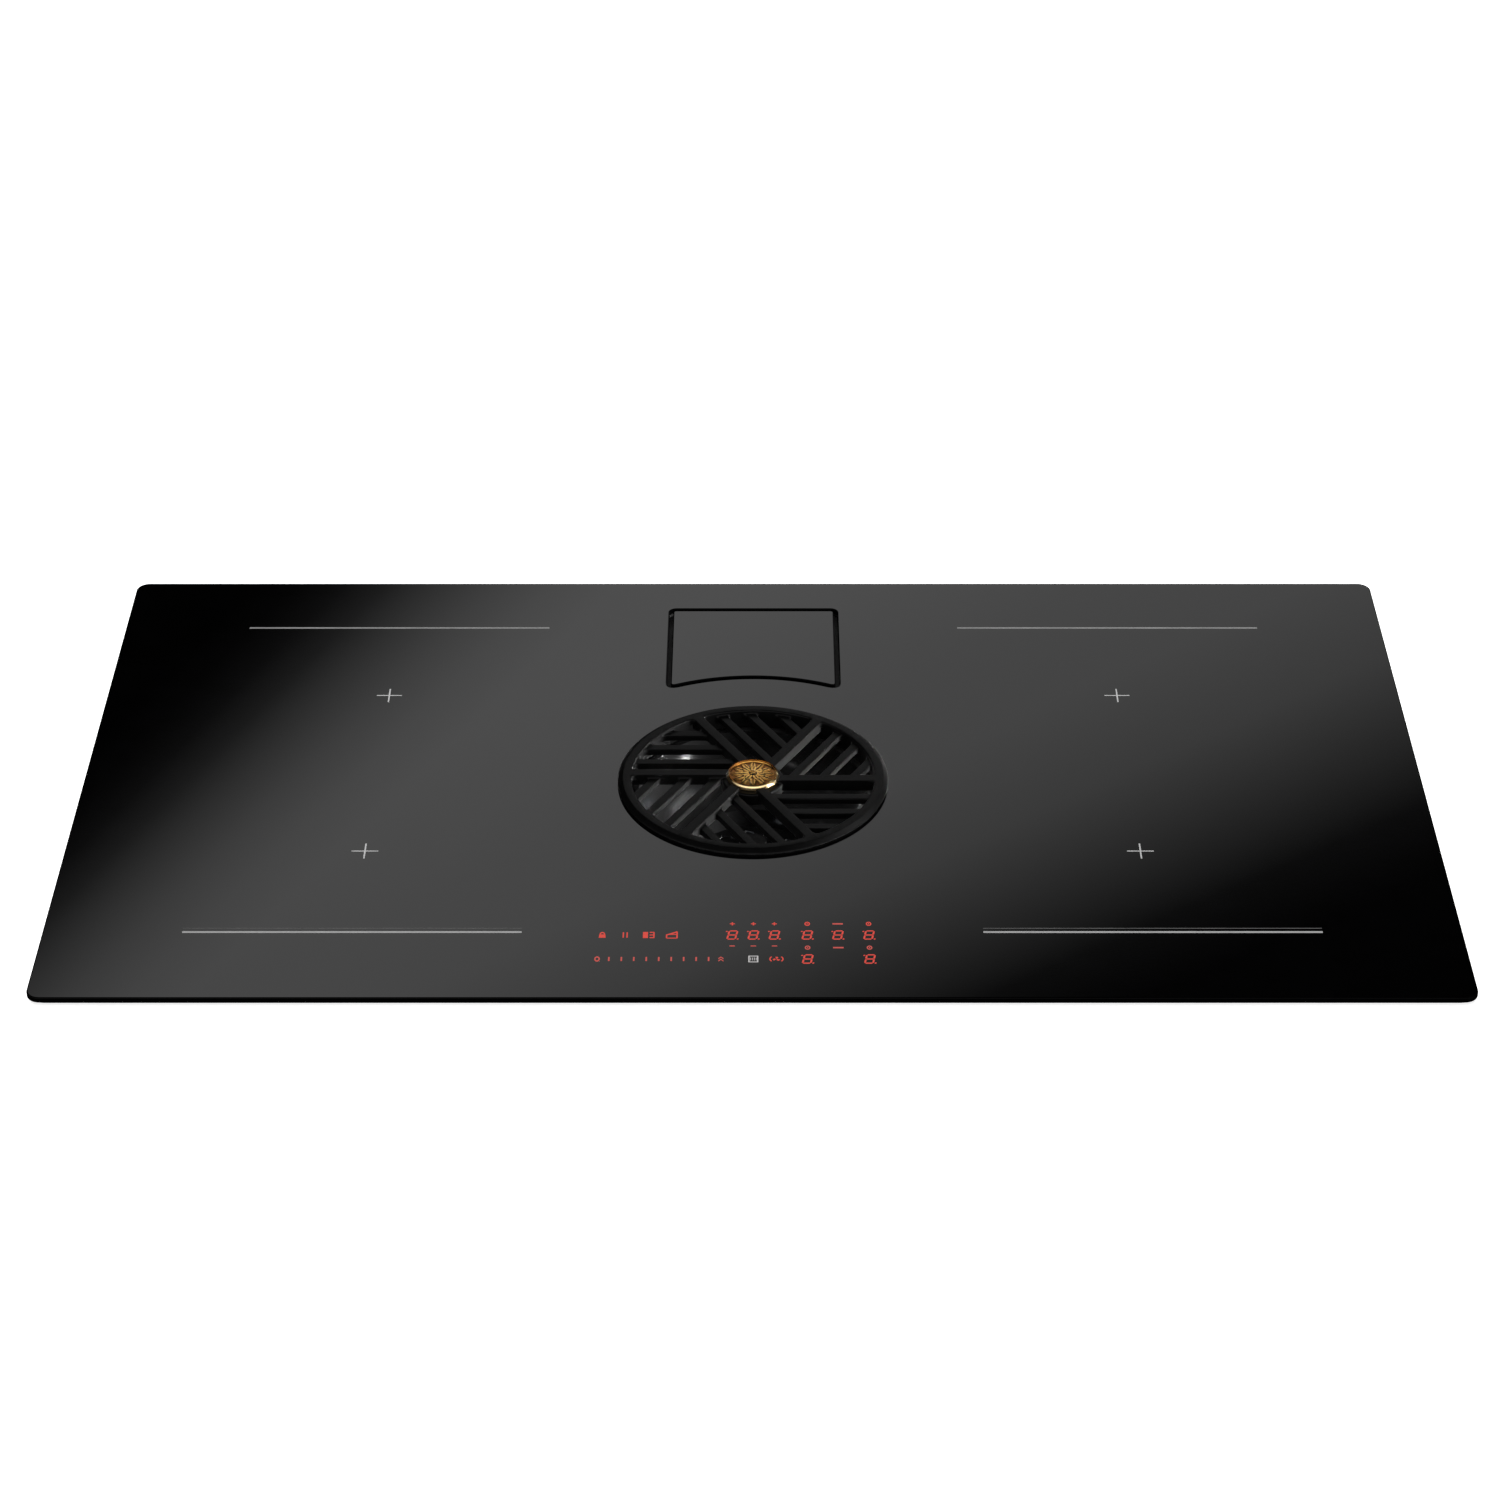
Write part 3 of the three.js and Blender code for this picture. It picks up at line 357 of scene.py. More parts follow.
def plate(name, outlines, z0, z1, material, bevel=0.0, bevel_steps=2):
    """A flat plate from outlines, the first its edge and the rest its holes, with round edges."""
    curve = bpy.data.curves.new(name, "CURVE")
    curve.dimensions = "2D"
    curve.fill_mode = "BOTH"
    curve.extrude = (z1 - z0) / 2 - bevel
    curve.bevel_depth = bevel
    curve.bevel_resolution = bevel_steps
    curve.offset = -bevel
    for points in outlines:
        spline = curve.splines.new("POLY")
        spline.points.add(len(points) - 1)
        for point, (x, y) in zip(spline.points, points):
            point.co = (x, y, 0, 1)
        spline.use_cyclic_u = True
    temp = bpy.data.objects.new(name, curve)
    mesh = bpy.data.meshes.new_from_object(temp)
    bpy.data.objects.remove(temp)
    bpy.data.curves.remove(curve)
    bm = bmesh.new()
    bm.from_mesh(mesh)
    bpy.data.meshes.remove(mesh)
    bmesh.ops.remove_doubles(bm, verts=bm.verts, dist=1e-6)
    bmesh.ops.translate(bm, verts=bm.verts, vec=(0, 0, (z0 + z1) / 2))
    obj = to_object(bm, name, material, 35)
    for face in obj.data.polygons:
        face.use_smooth = abs(face.normal.z) < FLAT_FACE
    return obj


def add_prism(bm, points, z0, z1):
    """Adds a closed upright prism with the given outline to bm."""
    low = [bm.verts.new((x, y, z0)) for x, y in points]
    high = [bm.verts.new((x, y, z1)) for x, y in points]
    bm.faces.new(low[::-1])
    bm.faces.new(high)
    count = len(points)
    for i in range(count):
        j = (i + 1) % count
        bm.faces.new((low[i], low[j], high[j], high[i]))


def add_lathe(bm, outline, cx, cy, steps=96):
    """Adds the closed (radius, z) outline turned about the upright line at cx, cy."""
    rows = []
    for i in range(steps):
        a = 2 * math.pi * i / steps
        rows.append([bm.verts.new((cx + r * math.cos(a), cy + r * math.sin(a), z)) for r, z in outline])
    count = len(outline)
    for i in range(steps):
        here, there = rows[i], rows[(i + 1) % steps]
        for k in range(count):
            m = (k + 1) % count
            bm.faces.new((here[k], there[k], there[m], here[m]))


def stands_for(obj, node, body):
    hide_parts(node)
    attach(obj, body)


def turned(name, outline, cx, cy, material, steps=96, smooth_angle=40):
    bm = bmesh.new()
    add_lathe(bm, outline, cx, cy, steps)
    return to_object(bm, name, material, smooth_angle)


def rotated(points, angle, cx=0.0, cy=0.0):
    c, s = math.cos(angle), math.sin(angle)
    return [(cx + x * c - y * s, cy + x * s + y * c) for x, y in points]


def rounded_profile(corners, r):
    """Closed outline with each corner of the polygon rounded by r, or by its own third value."""
    points, steps = [], 4
    count = len(corners)
    for i, corner in enumerate(corners):
        here = Vector(corner[:2])
        radius = corner[2] if len(corner) > 2 else r
        if not radius:
            points.append(tuple(here))
            continue
        before = (Vector(corners[i - 1][:2]) - here).normalized()
        after = (Vector(corners[(i + 1) % count][:2]) - here).normalized()
        half = before.angle(after) / 2
        reach = radius / math.tan(half)
        a, b = here + before * reach, here + after * reach
        for k in range(steps + 1):
            t = k / steps
            points.append(tuple(a * (1 - t) ** 2 + here * 2 * t * (1 - t) + b * t ** 2))
    return points


# ------------------------------------------------------------------ glass and print

HOLE_R = 86 * MM
SCALE_GAP = 2.8 * MM
SCALE_ARC_R = 134.5 * MM
SCALE_CORNER = 2.2 * MM
SCALE_ARC_GAP = 1.25


def scale_outline(grow):
    """The weighing plate's outline: a rectangle whose front edge is an arc about the grille."""
    half = SCALE_HI[0] + grow
    back = SCALE_HI[1] + grow
    corner = SCALE_CORNER + grow
    radius = SCALE_ARC_R - grow * SCALE_ARC_GAP
    inset = corner * 1.6
    front_y = AXIS_Y + math.sqrt(radius ** 2 - (half - inset) ** 2)
    tilt = math.degrees(math.atan2(half - inset, front_y - AXIS_Y))

    def nose(side):
        a, c = Vector((half, front_y + corner)), Vector((half - inset, front_y))
        b = Vector((half, front_y - corner * 0.55))
        curve = [a * (1 - t) ** 2 + b * 2 * t * (1 - t) + c * t ** 2 for t in (0, 0.2, 0.4, 0.6, 0.8)]
        return [(side * p.x, p.y) for p in curve]

    points = arc(half - corner, back - corner, corner, 0, 90, 8)
    points += arc(-half + corner, back - corner, corner, 90, 180, 8)
    points += nose(-1)
    points += arc(0, AXIS_Y, radius, 90 + tilt, 90 - tilt, 40)
    points += nose(1)[::-1]
    return points


def make_glass(m):
    outlines = [
        round_rect(GLASS_LO[0], GLASS_LO[1], GLASS_HI[0], GLASS_HI[1], 9 * MM, 10),
        ring(0, AXIS_Y, HOLE_R, 128),
        scale_outline(SCALE_GAP),
    ]
    glass = plate("glass_slab", outlines, GLASS_LO[2], GLASS_TOP, m["glass"], 0.9 * MM, 3)
    stands_for(glass, "glass_top", "hob")
    weigh = plate("weighing_plate", [scale_outline(0)], SCALE_LO[2], SCALE_HI[2], m["glass"], 0.7 * MM, 3)
    stands_for(weigh, "scale_plate", "scale_top")


def printed(name, shapes, material):
    """Thin flat print or a lit symbol on the glass. Each shape is one outline."""
    bm = bmesh.new()
    z = GLASS_TOP + PRINT_LIFT
    for points in shapes:
        add_prism(bm, points, z, z + PRINT_THICK)
    obj = to_object(bm, name, material)
    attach(obj, "hob")


def bar(cx, cy, width, height):
    w, h = width / 2, height / 2
    return [(cx - w, cy - h), (cx + w, cy - h), (cx + w, cy + h), (cx - w, cy + h)]


def make_zone_print(m):
    line_x, line_length, line_width = 253.75 * MM, 215 * MM, 1.9 * MM
    front_y, rear_y, ghost = -184.8 * MM, 191.2 * MM, 4.1 * MM
    cross_x, cross_front, cross_rear = 253.5 * MM, -93.5 * MM, 99.4 * MM
    arm, stroke = 17.5 * MM, 1.0 * MM
    for side, s in (("left", -1), ("right", 1)):
        for row, y in (("front", front_y), ("rear", rear_y)):
            tone = m["print_front" if row == "front" else "print"]
            printed(f"zone_line_{side}_{row}", [bar(s * line_x, y, line_length, line_width)], tone)
        ghost_line = bar(s * line_x, front_y + ghost, line_length, 0.7 * MM)
        printed(f"zone_fine_line_{side}", [ghost_line], m["print_faint"])
        for row, y in (("front", cross_front), ("rear", cross_rear)):
            x, gap = s * cross_x, stroke / 2
            shapes = [bar(x, y, arm, stroke)]
            for t in (-1, 1):
                middle = y + t * (arm / 4 + gap / 2)
                shapes.append(bar(x, middle, stroke, arm / 2 - gap))
            printed(f"zone_cross_{side}_{row}", shapes, m["print_bright"])


# ------------------------------------------------------------------ lit controls

DIGIT_W, DIGIT_H, DIGIT_STROKE, DIGIT_LEAN = 5.1 * MM, 8.9 * MM, 1.15 * MM, 0.17


def leaning(points, cx, cy):
    return [(cx + x + DIGIT_LEAN * y, cy + y) for x, y in points]


def segment(x0, y0, x1, y1, thick):
    """One pointed segment of a digit, from one end to the other."""
    a, b = Vector((x0, y0)), Vector((x1, y1))
    along = (b - a).normalized()
    across = Vector((-along.y, along.x)) * thick / 2
    inner = along * thick / 2
    a, b = a + along * 0.18 * MM, b - along * 0.18 * MM
    outline = (a, a + inner - across, b - inner - across, b, b - inner + across, a + inner + across)
    return [tuple(p) for p in outline]


def digit(cx, cy):
    w, h, t = DIGIT_W / 2, DIGIT_H / 2, DIGIT_STROKE
    ends = [(-w, h, w, h), (-w, 0, w, 0), (-w, -h, w, -h), (-w, 0, -w, h), (w, 0, w, h), (-w, -h, -w, 0),
            (w, -h, w, 0)]
    shapes = [leaning(segment(*e, t), cx, cy) for e in ends]
    dot = bar(w + 1.6 * MM, -h + 0.1 * MM, 1.1 * MM, 1.2 * MM)
    mark = bar(-w - 1.6 * MM, h - 0.6 * MM, 1.1 * MM, 1.0 * MM)
    return shapes + [leaning(dot, cx, cy), leaning(mark, cx, cy)]


def hoop(cx, cy, r, thick, start=0, end=360, steps=20, tall=1.0):
    """A band along an arc, as short four-sided pieces, stretched by tall towards the back."""
    shapes = []
    for i in range(steps):
        a0 = math.radians(start + (end - start) * i / steps)
        a1 = math.radians(start + (end - start) * (i + 1) / steps)
        inner, outer = r - thick / 2, r + thick / 2
        shapes.append([(cx + q * math.cos(a), cy + q * math.sin(a) * tall)
                       for q, a in ((inner, a0), (outer, a0), (outer, a1), (inner, a1))])
    return shapes


def padlock(cx, cy):
    foot, shoulder = 2.2 * MM, 1.9 * MM
    low, high = cy - 3.0 * MM, cy + 0.6 * MM
    body = [(cx - foot, low), (cx + foot, low), (cx + shoulder, high), (cx - shoulder, high)]
    return [body] + hoop(cx, cy + 0.6 * MM, 1.4 * MM, 0.8 * MM, 0, 180, 10, 1.5)


def pause(cx, cy):
    return [bar(cx + s * 1.2 * MM, cy, 0.85 * MM, 5.8 * MM) for s in (-1, 1)]


def linked_zones(cx, cy):
    """Two zones side by side, the left one lit."""
    left, right = cx - 2.0 * MM, cx + 2.1 * MM
    lit_zone = [bar(left, cy, 3.2 * MM, 6.6 * MM)]
    rows = [bar(right, cy + dy * MM, 2.9 * MM, 1.0 * MM) for dy in (-2.9, 0, 2.9)]
    return lit_zone + rows + [bar(right + 1.3 * MM, cy, 0.8 * MM, 6.0 * MM)]


def open_pot(cx, cy):
    """A pot with its lid lifted at one side."""
    left, right = cx - 3.3 * MM, cx + 3.3 * MM
    low, high = cy - 3.4 * MM, cy + 0.6 * MM
    lid = [(left - 0.3 * MM, cy + 0.4 * MM), (left + 0.4 * MM, cy - 0.4 * MM), (right, cy + 2.6 * MM),
           (right, cy + 4.2 * MM)]
    return [lid, bar(cx, low, 6.4 * MM, 0.9 * MM), bar(left, (low + high) / 2, 0.9 * MM, high - low),
            bar(right, cy, 0.9 * MM, 7.2 * MM), bar(cx + 0.6 * MM, high, 5.4 * MM, 0.8 * MM)]


def plus(cx, cy):
    return [bar(cx, cy, 3.2 * MM, 0.9 * MM), bar(cx, cy + 1.05 * MM, 0.9 * MM, 1.1 * MM),
            bar(cx, cy - 1.05 * MM, 0.9 * MM, 1.1 * MM)]


def minus(cx, cy):
    return [bar(cx, cy, 3.4 * MM, 1.0 * MM)]


def ring_key(cx, cy):
    return hoop(cx, cy, 1.4 * MM, 0.75 * MM, tall=1.25) + [bar(cx, cy, 0.8 * MM, 1.2 * MM)]


def bar_key(cx, cy):
    return [bar(cx, cy, 6.6 * MM, 1.5 * MM)]


def stop_key(cx, cy):
    return hoop(cx, cy, 1.35 * MM, 0.85 * MM, tall=1.6)


def boost_key(cx, cy):
    """Two chevrons that point up, for the highest power."""
    shapes = []
    for dy in (-1.2 * MM, 1.2 * MM):
        for s in (-1, 1):
            shapes.append([(cx, cy + dy + 1.4 * MM), (cx, cy + dy + 0.2 * MM),
                           (cx + s * 1.6 * MM, cy + dy - 1.5 * MM), (cx + s * 1.6 * MM, cy + dy - 0.3 * MM)])
    return shapes


def fan_key(cx, cy):
    """A three-bladed fan between two brackets."""
    shapes = hoop(cx - 1.0 * MM, cy, 3.1 * MM, 0.85 * MM, 130, 230, 6)
    shapes += hoop(cx + 1.0 * MM, cy, 3.1 * MM, 0.85 * MM, -50, 50, 6)
    blade = [(0, 0.1 * MM), (1.1 * MM, 0.9 * MM), (0.9 * MM, 2.2 * MM), (-0.7 * MM, 2.3 * MM)]
    return shapes + [rotated(blade, math.radians(a), cx, cy) for a in (0, 120, 240)]


def clock_panel(cx, cy):
    """A small framed display with two columns of marks."""
    w, h, t = 2.75 * MM, 3.1 * MM, 0.75 * MM
    shapes = [bar(cx, cy + s * h, 2 * w + t, t) for s in (-1, 1)]
    shapes += [bar(cx + s * w, cy, t, 2 * h - t) for s in (-1, 1)]
    for i in (-1, 1):
        shapes += [bar(cx + i * 1.2 * MM + j * 0.6 * MM, cy, 0.4 * MM, 3.0 * MM) for j in (-1, 1)]
    return shapes


DIGITS_X = [-12.75, 0.6, 13.9, 34.75, 54.1, 73.75]
ROW_KEYS, ROW_ABOVE, ROW_BELOW, ROW_ICONS, ROW_SLIDER = -188.0, -175.8, -199.9, -201.7, -213.9


def make_controls(m):
    red = {
        "lock_key": padlock(-95 * MM, ROW_KEYS * MM),
        "pause_key": pause(-80.5 * MM, ROW_KEYS * MM),
        "link_key": linked_zones(-65.7 * MM, ROW_KEYS * MM),
        "pot_key": open_pot(-51 * MM, ROW_KEYS * MM),
        "stop_key": stop_key(-97.4 * MM, ROW_SLIDER * MM),
        "boost_key": boost_key(-19.75 * MM, ROW_SLIDER * MM),
        "fan_key": fan_key(15.1 * MM, ROW_SLIDER * MM),
    }
    for i, x in enumerate(DIGITS_X):
        red[f"digit_{i + 1}"] = digit(x * MM, ROW_KEYS * MM)
    for i, x in enumerate((34.75, 73.75)):
        red[f"digit_{i + 7}"] = digit(x * MM, ROW_SLIDER * MM)
        red[f"upper_ring_key_{i + 1}"] = ring_key(x * MM, ROW_ABOVE * MM)
        red[f"lower_ring_key_{i + 1}"] = ring_key(x * MM, ROW_ICONS * MM)
    for i, x in enumerate(DIGITS_X[:3]):
        red[f"plus_key_{i + 1}"] = plus(x * MM, ROW_ABOVE * MM)
        red[f"minus_key_{i + 1}"] = minus(x * MM, ROW_BELOW * MM)
    red["upper_bar_key"] = bar_key(54.1 * MM, ROW_ABOVE * MM)
    red["lower_bar_key"] = bar_key(54.1 * MM, ROW_ICONS * MM)
    ticks, first, pitch = 9, -90.0, 7.82
    red["power_slider"] = [bar((first + i * pitch) * MM, ROW_SLIDER * MM, 1.0 * MM, 4.3 * MM)
                           for i in range(ticks)]
    paler = ("minus", "upper_bar", "lower_bar", "power_slider", "stop", "boost", "lower_ring")
    for name, shapes in red.items():
        printed(name, shapes, m["pink_light" if name.startswith(paler) else "red_light"])
    printed("clock_panel", clock_panel(0.6 * MM, ROW_SLIDER * MM), m["white_light"])


# ------------------------------------------------------------------ grille and medal

RIM_OUTER, RIM_TOP_OUTER, RIM_INNER = 91 * MM, 87.6 * MM, 81.8 * MM
RIM_SKIRT = 2.0 * MM
RIM_FOOT = GLASS_TOP + 1.3 * MM
ARM_WIDTH, ARM_OFFSET, ARM_DEPTH = 7.0 * MM, 3.5 * MM, 8.0 * MM
SLAT_WIDTH, SLAT_PITCH, SLAT_DROP, SLAT_DEPTH = 5.8 * MM, 17.9 * MM, 3.0 * MM, 4.6 * MM
BAR_REACH = RIM_INNER + 1 * MM
SLAT_TOP = GRILLE_TOP - SLAT_DROP
SLAT_FILLET, RIM_FILLET, ARM_FILLET = 2.6 * MM, 3.2 * MM, 4 * MM
SLAT_FILLET_Z = (SLAT_TOP - SLAT_DEPTH + 0.3 * MM, SLAT_TOP - 0.1 * MM)
ARM_FILLET_Z = (SLAT_TOP - 1 * MM, GRILLE_TOP - 0.1 * MM)
HUB_R, HUB_DROP, HUB_DEPTH = 20.8 * MM, 2.5 * MM, 9.0 * MM
HUB_TOP = GRILLE_TOP - HUB_DROP
SEAT_R = 17.8 * MM
ARMS, SLATS = 6, 3
TURN = 2 * math.pi / ARMS


def grille_rim(bm):
    outline = rounded_profile([
        (RIM_INNER, GRILLE_LO[2], 0.3 * MM),
        (RIM_INNER + RIM_SKIRT, GRILLE_LO[2], 0.3 * MM),
        (RIM_INNER + RIM_SKIRT, RIM_FOOT, 0.2 * MM),
        (RIM_OUTER, RIM_FOOT, 0.3 * MM),
        (RIM_OUTER, RIM_FOOT + 0.8 * MM, 0.4 * MM),
        (RIM_TOP_OUTER, GRILLE_TOP, 0.5 * MM),
        (RIM_INNER, GRILLE_TOP, 0.7 * MM),
    ], 0.4 * MM)
    add_lathe(bm, outline, 0, AXIS_Y, 180)


def grille_arm(bm, angle):
    """One arm, from the round seat of the medal to the rim."""
    v0, v1 = -ARM_OFFSET - ARM_WIDTH / 2, -ARM_OFFSET + ARM_WIDTH / 2
    at_seat = [v1 + (v0 - v1) * i / 6 for i in range(7)]
    corners = [(math.sqrt(SEAT_R ** 2 - v ** 2), v) for v in at_seat]
    corners += [(RIM_INNER + 1.5 * MM, v0), (RIM_INNER + 1.5 * MM, v1)]
    add_prism(bm, rotated(corners, angle, 0, AXIS_Y), GRILLE_TOP - ARM_DEPTH, GRILLE_TOP)


def grille_slat(bm, offset, start, angle):
    """One slat, from inside the arm that carries it to inside the wall of the rim."""
    v0, v1 = offset - SLAT_WIDTH / 2, offset + SLAT_WIDTH / 2
    at_rim = [v0 + (v1 - v0) * i / 5 for i in range(6)]
    corners = [(start, v0)] + [(math.sqrt(BAR_REACH ** 2 - v ** 2), v) for v in at_rim] + [(start, v1)]
    add_prism(bm, rotated(corners, angle, 0, AXIS_Y), SLAT_TOP - SLAT_DEPTH, SLAT_TOP)


def fillet(bm, corner, directions, size, heights, angle):
    """A small web that rounds the inner corner between two bars that meet at a point."""
    a, b = (Vector((math.cos(d), math.sin(d))) for d in directions)
    c = Vector(corner)
    p, q = c + a * size, c + b * size
    curve = [p * (1 - t) ** 2 + c * 2 * t * (1 - t) + q * t ** 2 for t in (0, 0.25, 0.5, 0.75, 1)]
    back = c - (a + b) * 0.6 * MM
    points = [tuple(v) for v in curve] + [tuple(back)]
    add_prism(bm, rotated(points, angle, 0, AXIS_Y), *heights)


def slat_fillets(bm, v, angle):
    """Rounds both corners where a slat meets the side of the arm that carries it."""
    for edge, arm_side in ((SLAT_WIDTH / 2, 2 * TURN), (-SLAT_WIDTH / 2, -TURN)):
        w = v + edge
        corner = (-w / math.tan(TURN), w)
        fillet(bm, corner, (0.0, arm_side), SLAT_FILLET, SLAT_FILLET_Z, angle)


def rim_fillets(bm, v, angle):
    """Rounds both corners where a slat runs into the wall of the rim."""
    for edge, side in ((SLAT_WIDTH / 2, 1), (-SLAT_WIDTH / 2, -1)):
        w = v + edge
        u = math.sqrt(RIM_INNER ** 2 - w ** 2)
        along_wall = math.atan2(w, u) + side * math.pi / 2
        fillet(bm, (u, w), (math.pi, along_wall), RIM_FILLET, SLAT_FILLET_Z, angle)


def arm_fillets(bm, angle):
    """Rounds both corners where an arm runs into the wall of the rim."""
    reach = math.sqrt(RIM_INNER ** 2 - (ARM_OFFSET * 2) ** 2)
    for corner, side in (((reach, -2 * ARM_OFFSET), -1), ((RIM_INNER, 0), 1)):
        fillet(bm, corner, (math.pi, side * math.pi / 2), ARM_FILLET, ARM_FILLET_Z, angle)


def make_grille(m):
    bm = bmesh.new()
    grille_rim(bm)
    for i in range(ARMS):
        angle = i * TURN
        grille_arm(bm, angle)
        arm_fillets(bm, angle)
        for n in range(1, SLATS + 1):
            v = -ARM_OFFSET - n * SLAT_PITCH
            start = (-v - ARM_OFFSET / 2) / math.tan(TURN) - ARM_OFFSET
            grille_slat(bm, v, start, angle)
            slat_fillets(bm, v, angle)
            rim_fillets(bm, v, angle)
    # The hub is a lathe with a thin hole on its axis, which a pin fills.
    hub_foot = HUB_TOP - HUB_DEPTH
    hub = rounded_profile([(HUB_R, hub_foot, 1.5 * MM), (HUB_R, HUB_TOP, 1.2 * MM), (0.2 * MM, HUB_TOP, 0),
                           (0.2 * MM, hub_foot, 0)], 0)
    add_lathe(bm, hub, 0, AXIS_Y, 96)
    add_prism(bm, ring(0, AXIS_Y, 2 * MM, 12), hub_foot, HUB_TOP)
    grille = to_object(bm, "grille_casting", m["casting"])
    remesh = grille.modifiers.new("join", "REMESH")
    remesh.mode = "VOXEL"
    remesh.voxel_size = 0.5 * MM
    smooth = grille.modifiers.new("soften", "SMOOTH")
    smooth.factor = 0.5
    smooth.iterations = 3
    thin = grille.modifiers.new("thin", "DECIMATE")
    thin.ratio = 0.25
    applied(grille)
    shade_smooth(grille.data, 40)
    stands_for(grille, "grille", "grille_set")


BEZEL_LO, BEZEL_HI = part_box("medal_bezel")
DISC_LO, DISC_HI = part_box("medal_disc")
MEDAL_R = DISC_HI[0]
MEDAL_RELIEF = 1.1 * MM
MEDAL_DOME = 0.3 * MM
MEDAL_FLOOR = DISC_HI[2] - MEDAL_RELIEF - MEDAL_DOME
# The bezel leans in as it rises: each step is (distance in from the edge, height up), of 1.
BEZEL_CURVE = [(0.0, 0.10), (0.05, 0.29), (0.14, 0.47), (0.26, 0.64), (0.42, 0.79), (0.60, 0.90),
               (0.78, 0.97), (0.93, 1.0)]


def make_bezel(m):
    outer = BEZEL_HI[0]
    inner = MEDAL_R + 0.3 * MM
    z0, z1 = BEZEL_LO[2], BEZEL_HI[2]
    outline = [(inner, z0), (outer - 0.3 * MM, z0)]
    outline += [(outer - (outer - inner) * a, z0 + (z1 - z0) * b) for a, b in BEZEL_CURVE]
    outline.append((inner, z1 - 0.05 * MM))
    bezel = turned("medal_rim", outline, 0, AXIS_Y, m["brass_rim"], 128, 50)
    stands_for(bezel, "medal_bezel", "grille_set")


def leaf_ring(edge, a, count, inner, outer, turn=0.0):
    """A ring of pointed leaves, each with a vein, from 0 to 1."""
    wave = abs(math.cos(count / 2 * (a + turn)))
    reach = inner + (outer - inner) * wave ** 0.8
    if not inner - 0.02 < edge < reach + 0.02:
        return 0.0
    vein = 0.55 + 0.45 * min(1.0, (1 - wave) * 14 + 0.15)
    return min(1.0, (reach + 0.02 - edge) / 0.07) * vein * min(1.0, (edge - inner + 0.02) / 0.04)


def relief_height(r, a):
    """A plain rosette: a round edge, two rings of leaves and a domed middle, from 0 to 1."""
    edge = r / MEDAL_R
    rim = math.sqrt(max(0.0, 1 - ((edge - 0.97) / 0.03) ** 2))
    outer_leaves = leaf_ring(edge, a, 12, 0.40, 0.92)
    inner_leaves = leaf_ring(edge, a, 7, 0.16, 0.60, 0.3)
    dome = math.sqrt(max(0.0, 1 - (edge / 0.17) ** 2))
    return max(0.95 * rim, 0.75 * outer_leaves, inner_leaves, 0.9 * dome)


def make_medal(m):
    rings, steps = 64, 320
    bm = bmesh.new()
    top, bottom = [], []
    middle = bm.verts.new((0, AXIS_Y, DISC_HI[2]))
    for i in range(1, rings + 1):
        r = MEDAL_R * i / rings
        row = []
        for k in range(steps):
            a = 2 * math.pi * k / steps
            z = MEDAL_FLOOR + MEDAL_DOME * (1 - (r / MEDAL_R) ** 2) + MEDAL_RELIEF * relief_height(r, a)
            row.append(bm.verts.new((r * math.cos(a), AXIS_Y + r * math.sin(a), z)))
        top.append(row)
    for k in range(steps):
        a = 2 * math.pi * k / steps
        bottom.append(bm.verts.new((MEDAL_R * math.cos(a), AXIS_Y + MEDAL_R * math.sin(a), DISC_LO[2])))
    for k in range(steps):
        n = (k + 1) % steps
        bm.faces.new((middle, top[0][k], top[0][n]))
        for i in range(rings - 1):
            bm.faces.new((top[i][k], top[i + 1][k], top[i + 1][n], top[i][n]))
        bm.faces.new((top[-1][k], bottom[k], bottom[n], top[-1][n]))
    bm.faces.new(bottom[::-1])
    disc = to_object(bm, "medal_rosette", m["brass_relief_painted_shade"], 60)
    stands_for(disc, "medal_disc", "grille_set")


BOWL_LO, BOWL_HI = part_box("filter_bowl")
BOWL_RIM_R = BOWL_HI[0]
BOWL_OUTER, BOWL_NECK, BOWL_WALL, BOWL_LEDGE = 78.4 * MM, 44 * MM, 1.2 * MM, 4 * MM
BOWL_NECK_Z = 161 * MM


def quarter_curve(r0, r1, low, high):
    """From level at (r0, low) to upright at (r1, high)."""
    steps = 24
    turns = [math.pi / 2 * i / steps for i in range(steps + 1)]
    return [(r0 + (r1 - r0) * math.sin(a), high - (high - low) * math.cos(a)) for a in turns]


def make_bowl(m):
    foot, rim = BOWL_LO[2], BOWL_HI[2]
    inside = BOWL_NECK - BOWL_WALL
    outline = [(BOWL_NECK - BOWL_LEDGE, foot), (BOWL_NECK, foot)]
    outline += quarter_curve(BOWL_NECK, BOWL_OUTER, BOWL_NECK_Z, rim - 2 * BOWL_WALL)
    outline += [(BOWL_OUTER, rim - BOWL_WALL), (BOWL_RIM_R, rim - BOWL_WALL), (BOWL_RIM_R, rim),
                (BOWL_OUTER - BOWL_WALL, rim)]
    outline += quarter_curve(inside, BOWL_OUTER - BOWL_WALL, BOWL_NECK_Z + BOWL_WALL,
                             rim - 2 * BOWL_WALL)[::-1]
    outline += [(inside, foot + BOWL_WALL), (BOWL_NECK - BOWL_LEDGE, foot + BOWL_WALL)]
    bowl = turned("enamelled_bowl", outline, 0, AXIS_Y, m["enamel"], 160, 40)
    stands_for(bowl, "filter_bowl", "filter_set")


WELL_LO, WELL_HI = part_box("intake_well")
WELL_INNER, WELL_WALL, WELL_SEAT_R, WELL_SEAT_Z = 80 * MM, 2 * MM, 84.4 * MM, 203 * MM
WELL_FLANGE = 2.2 * MM


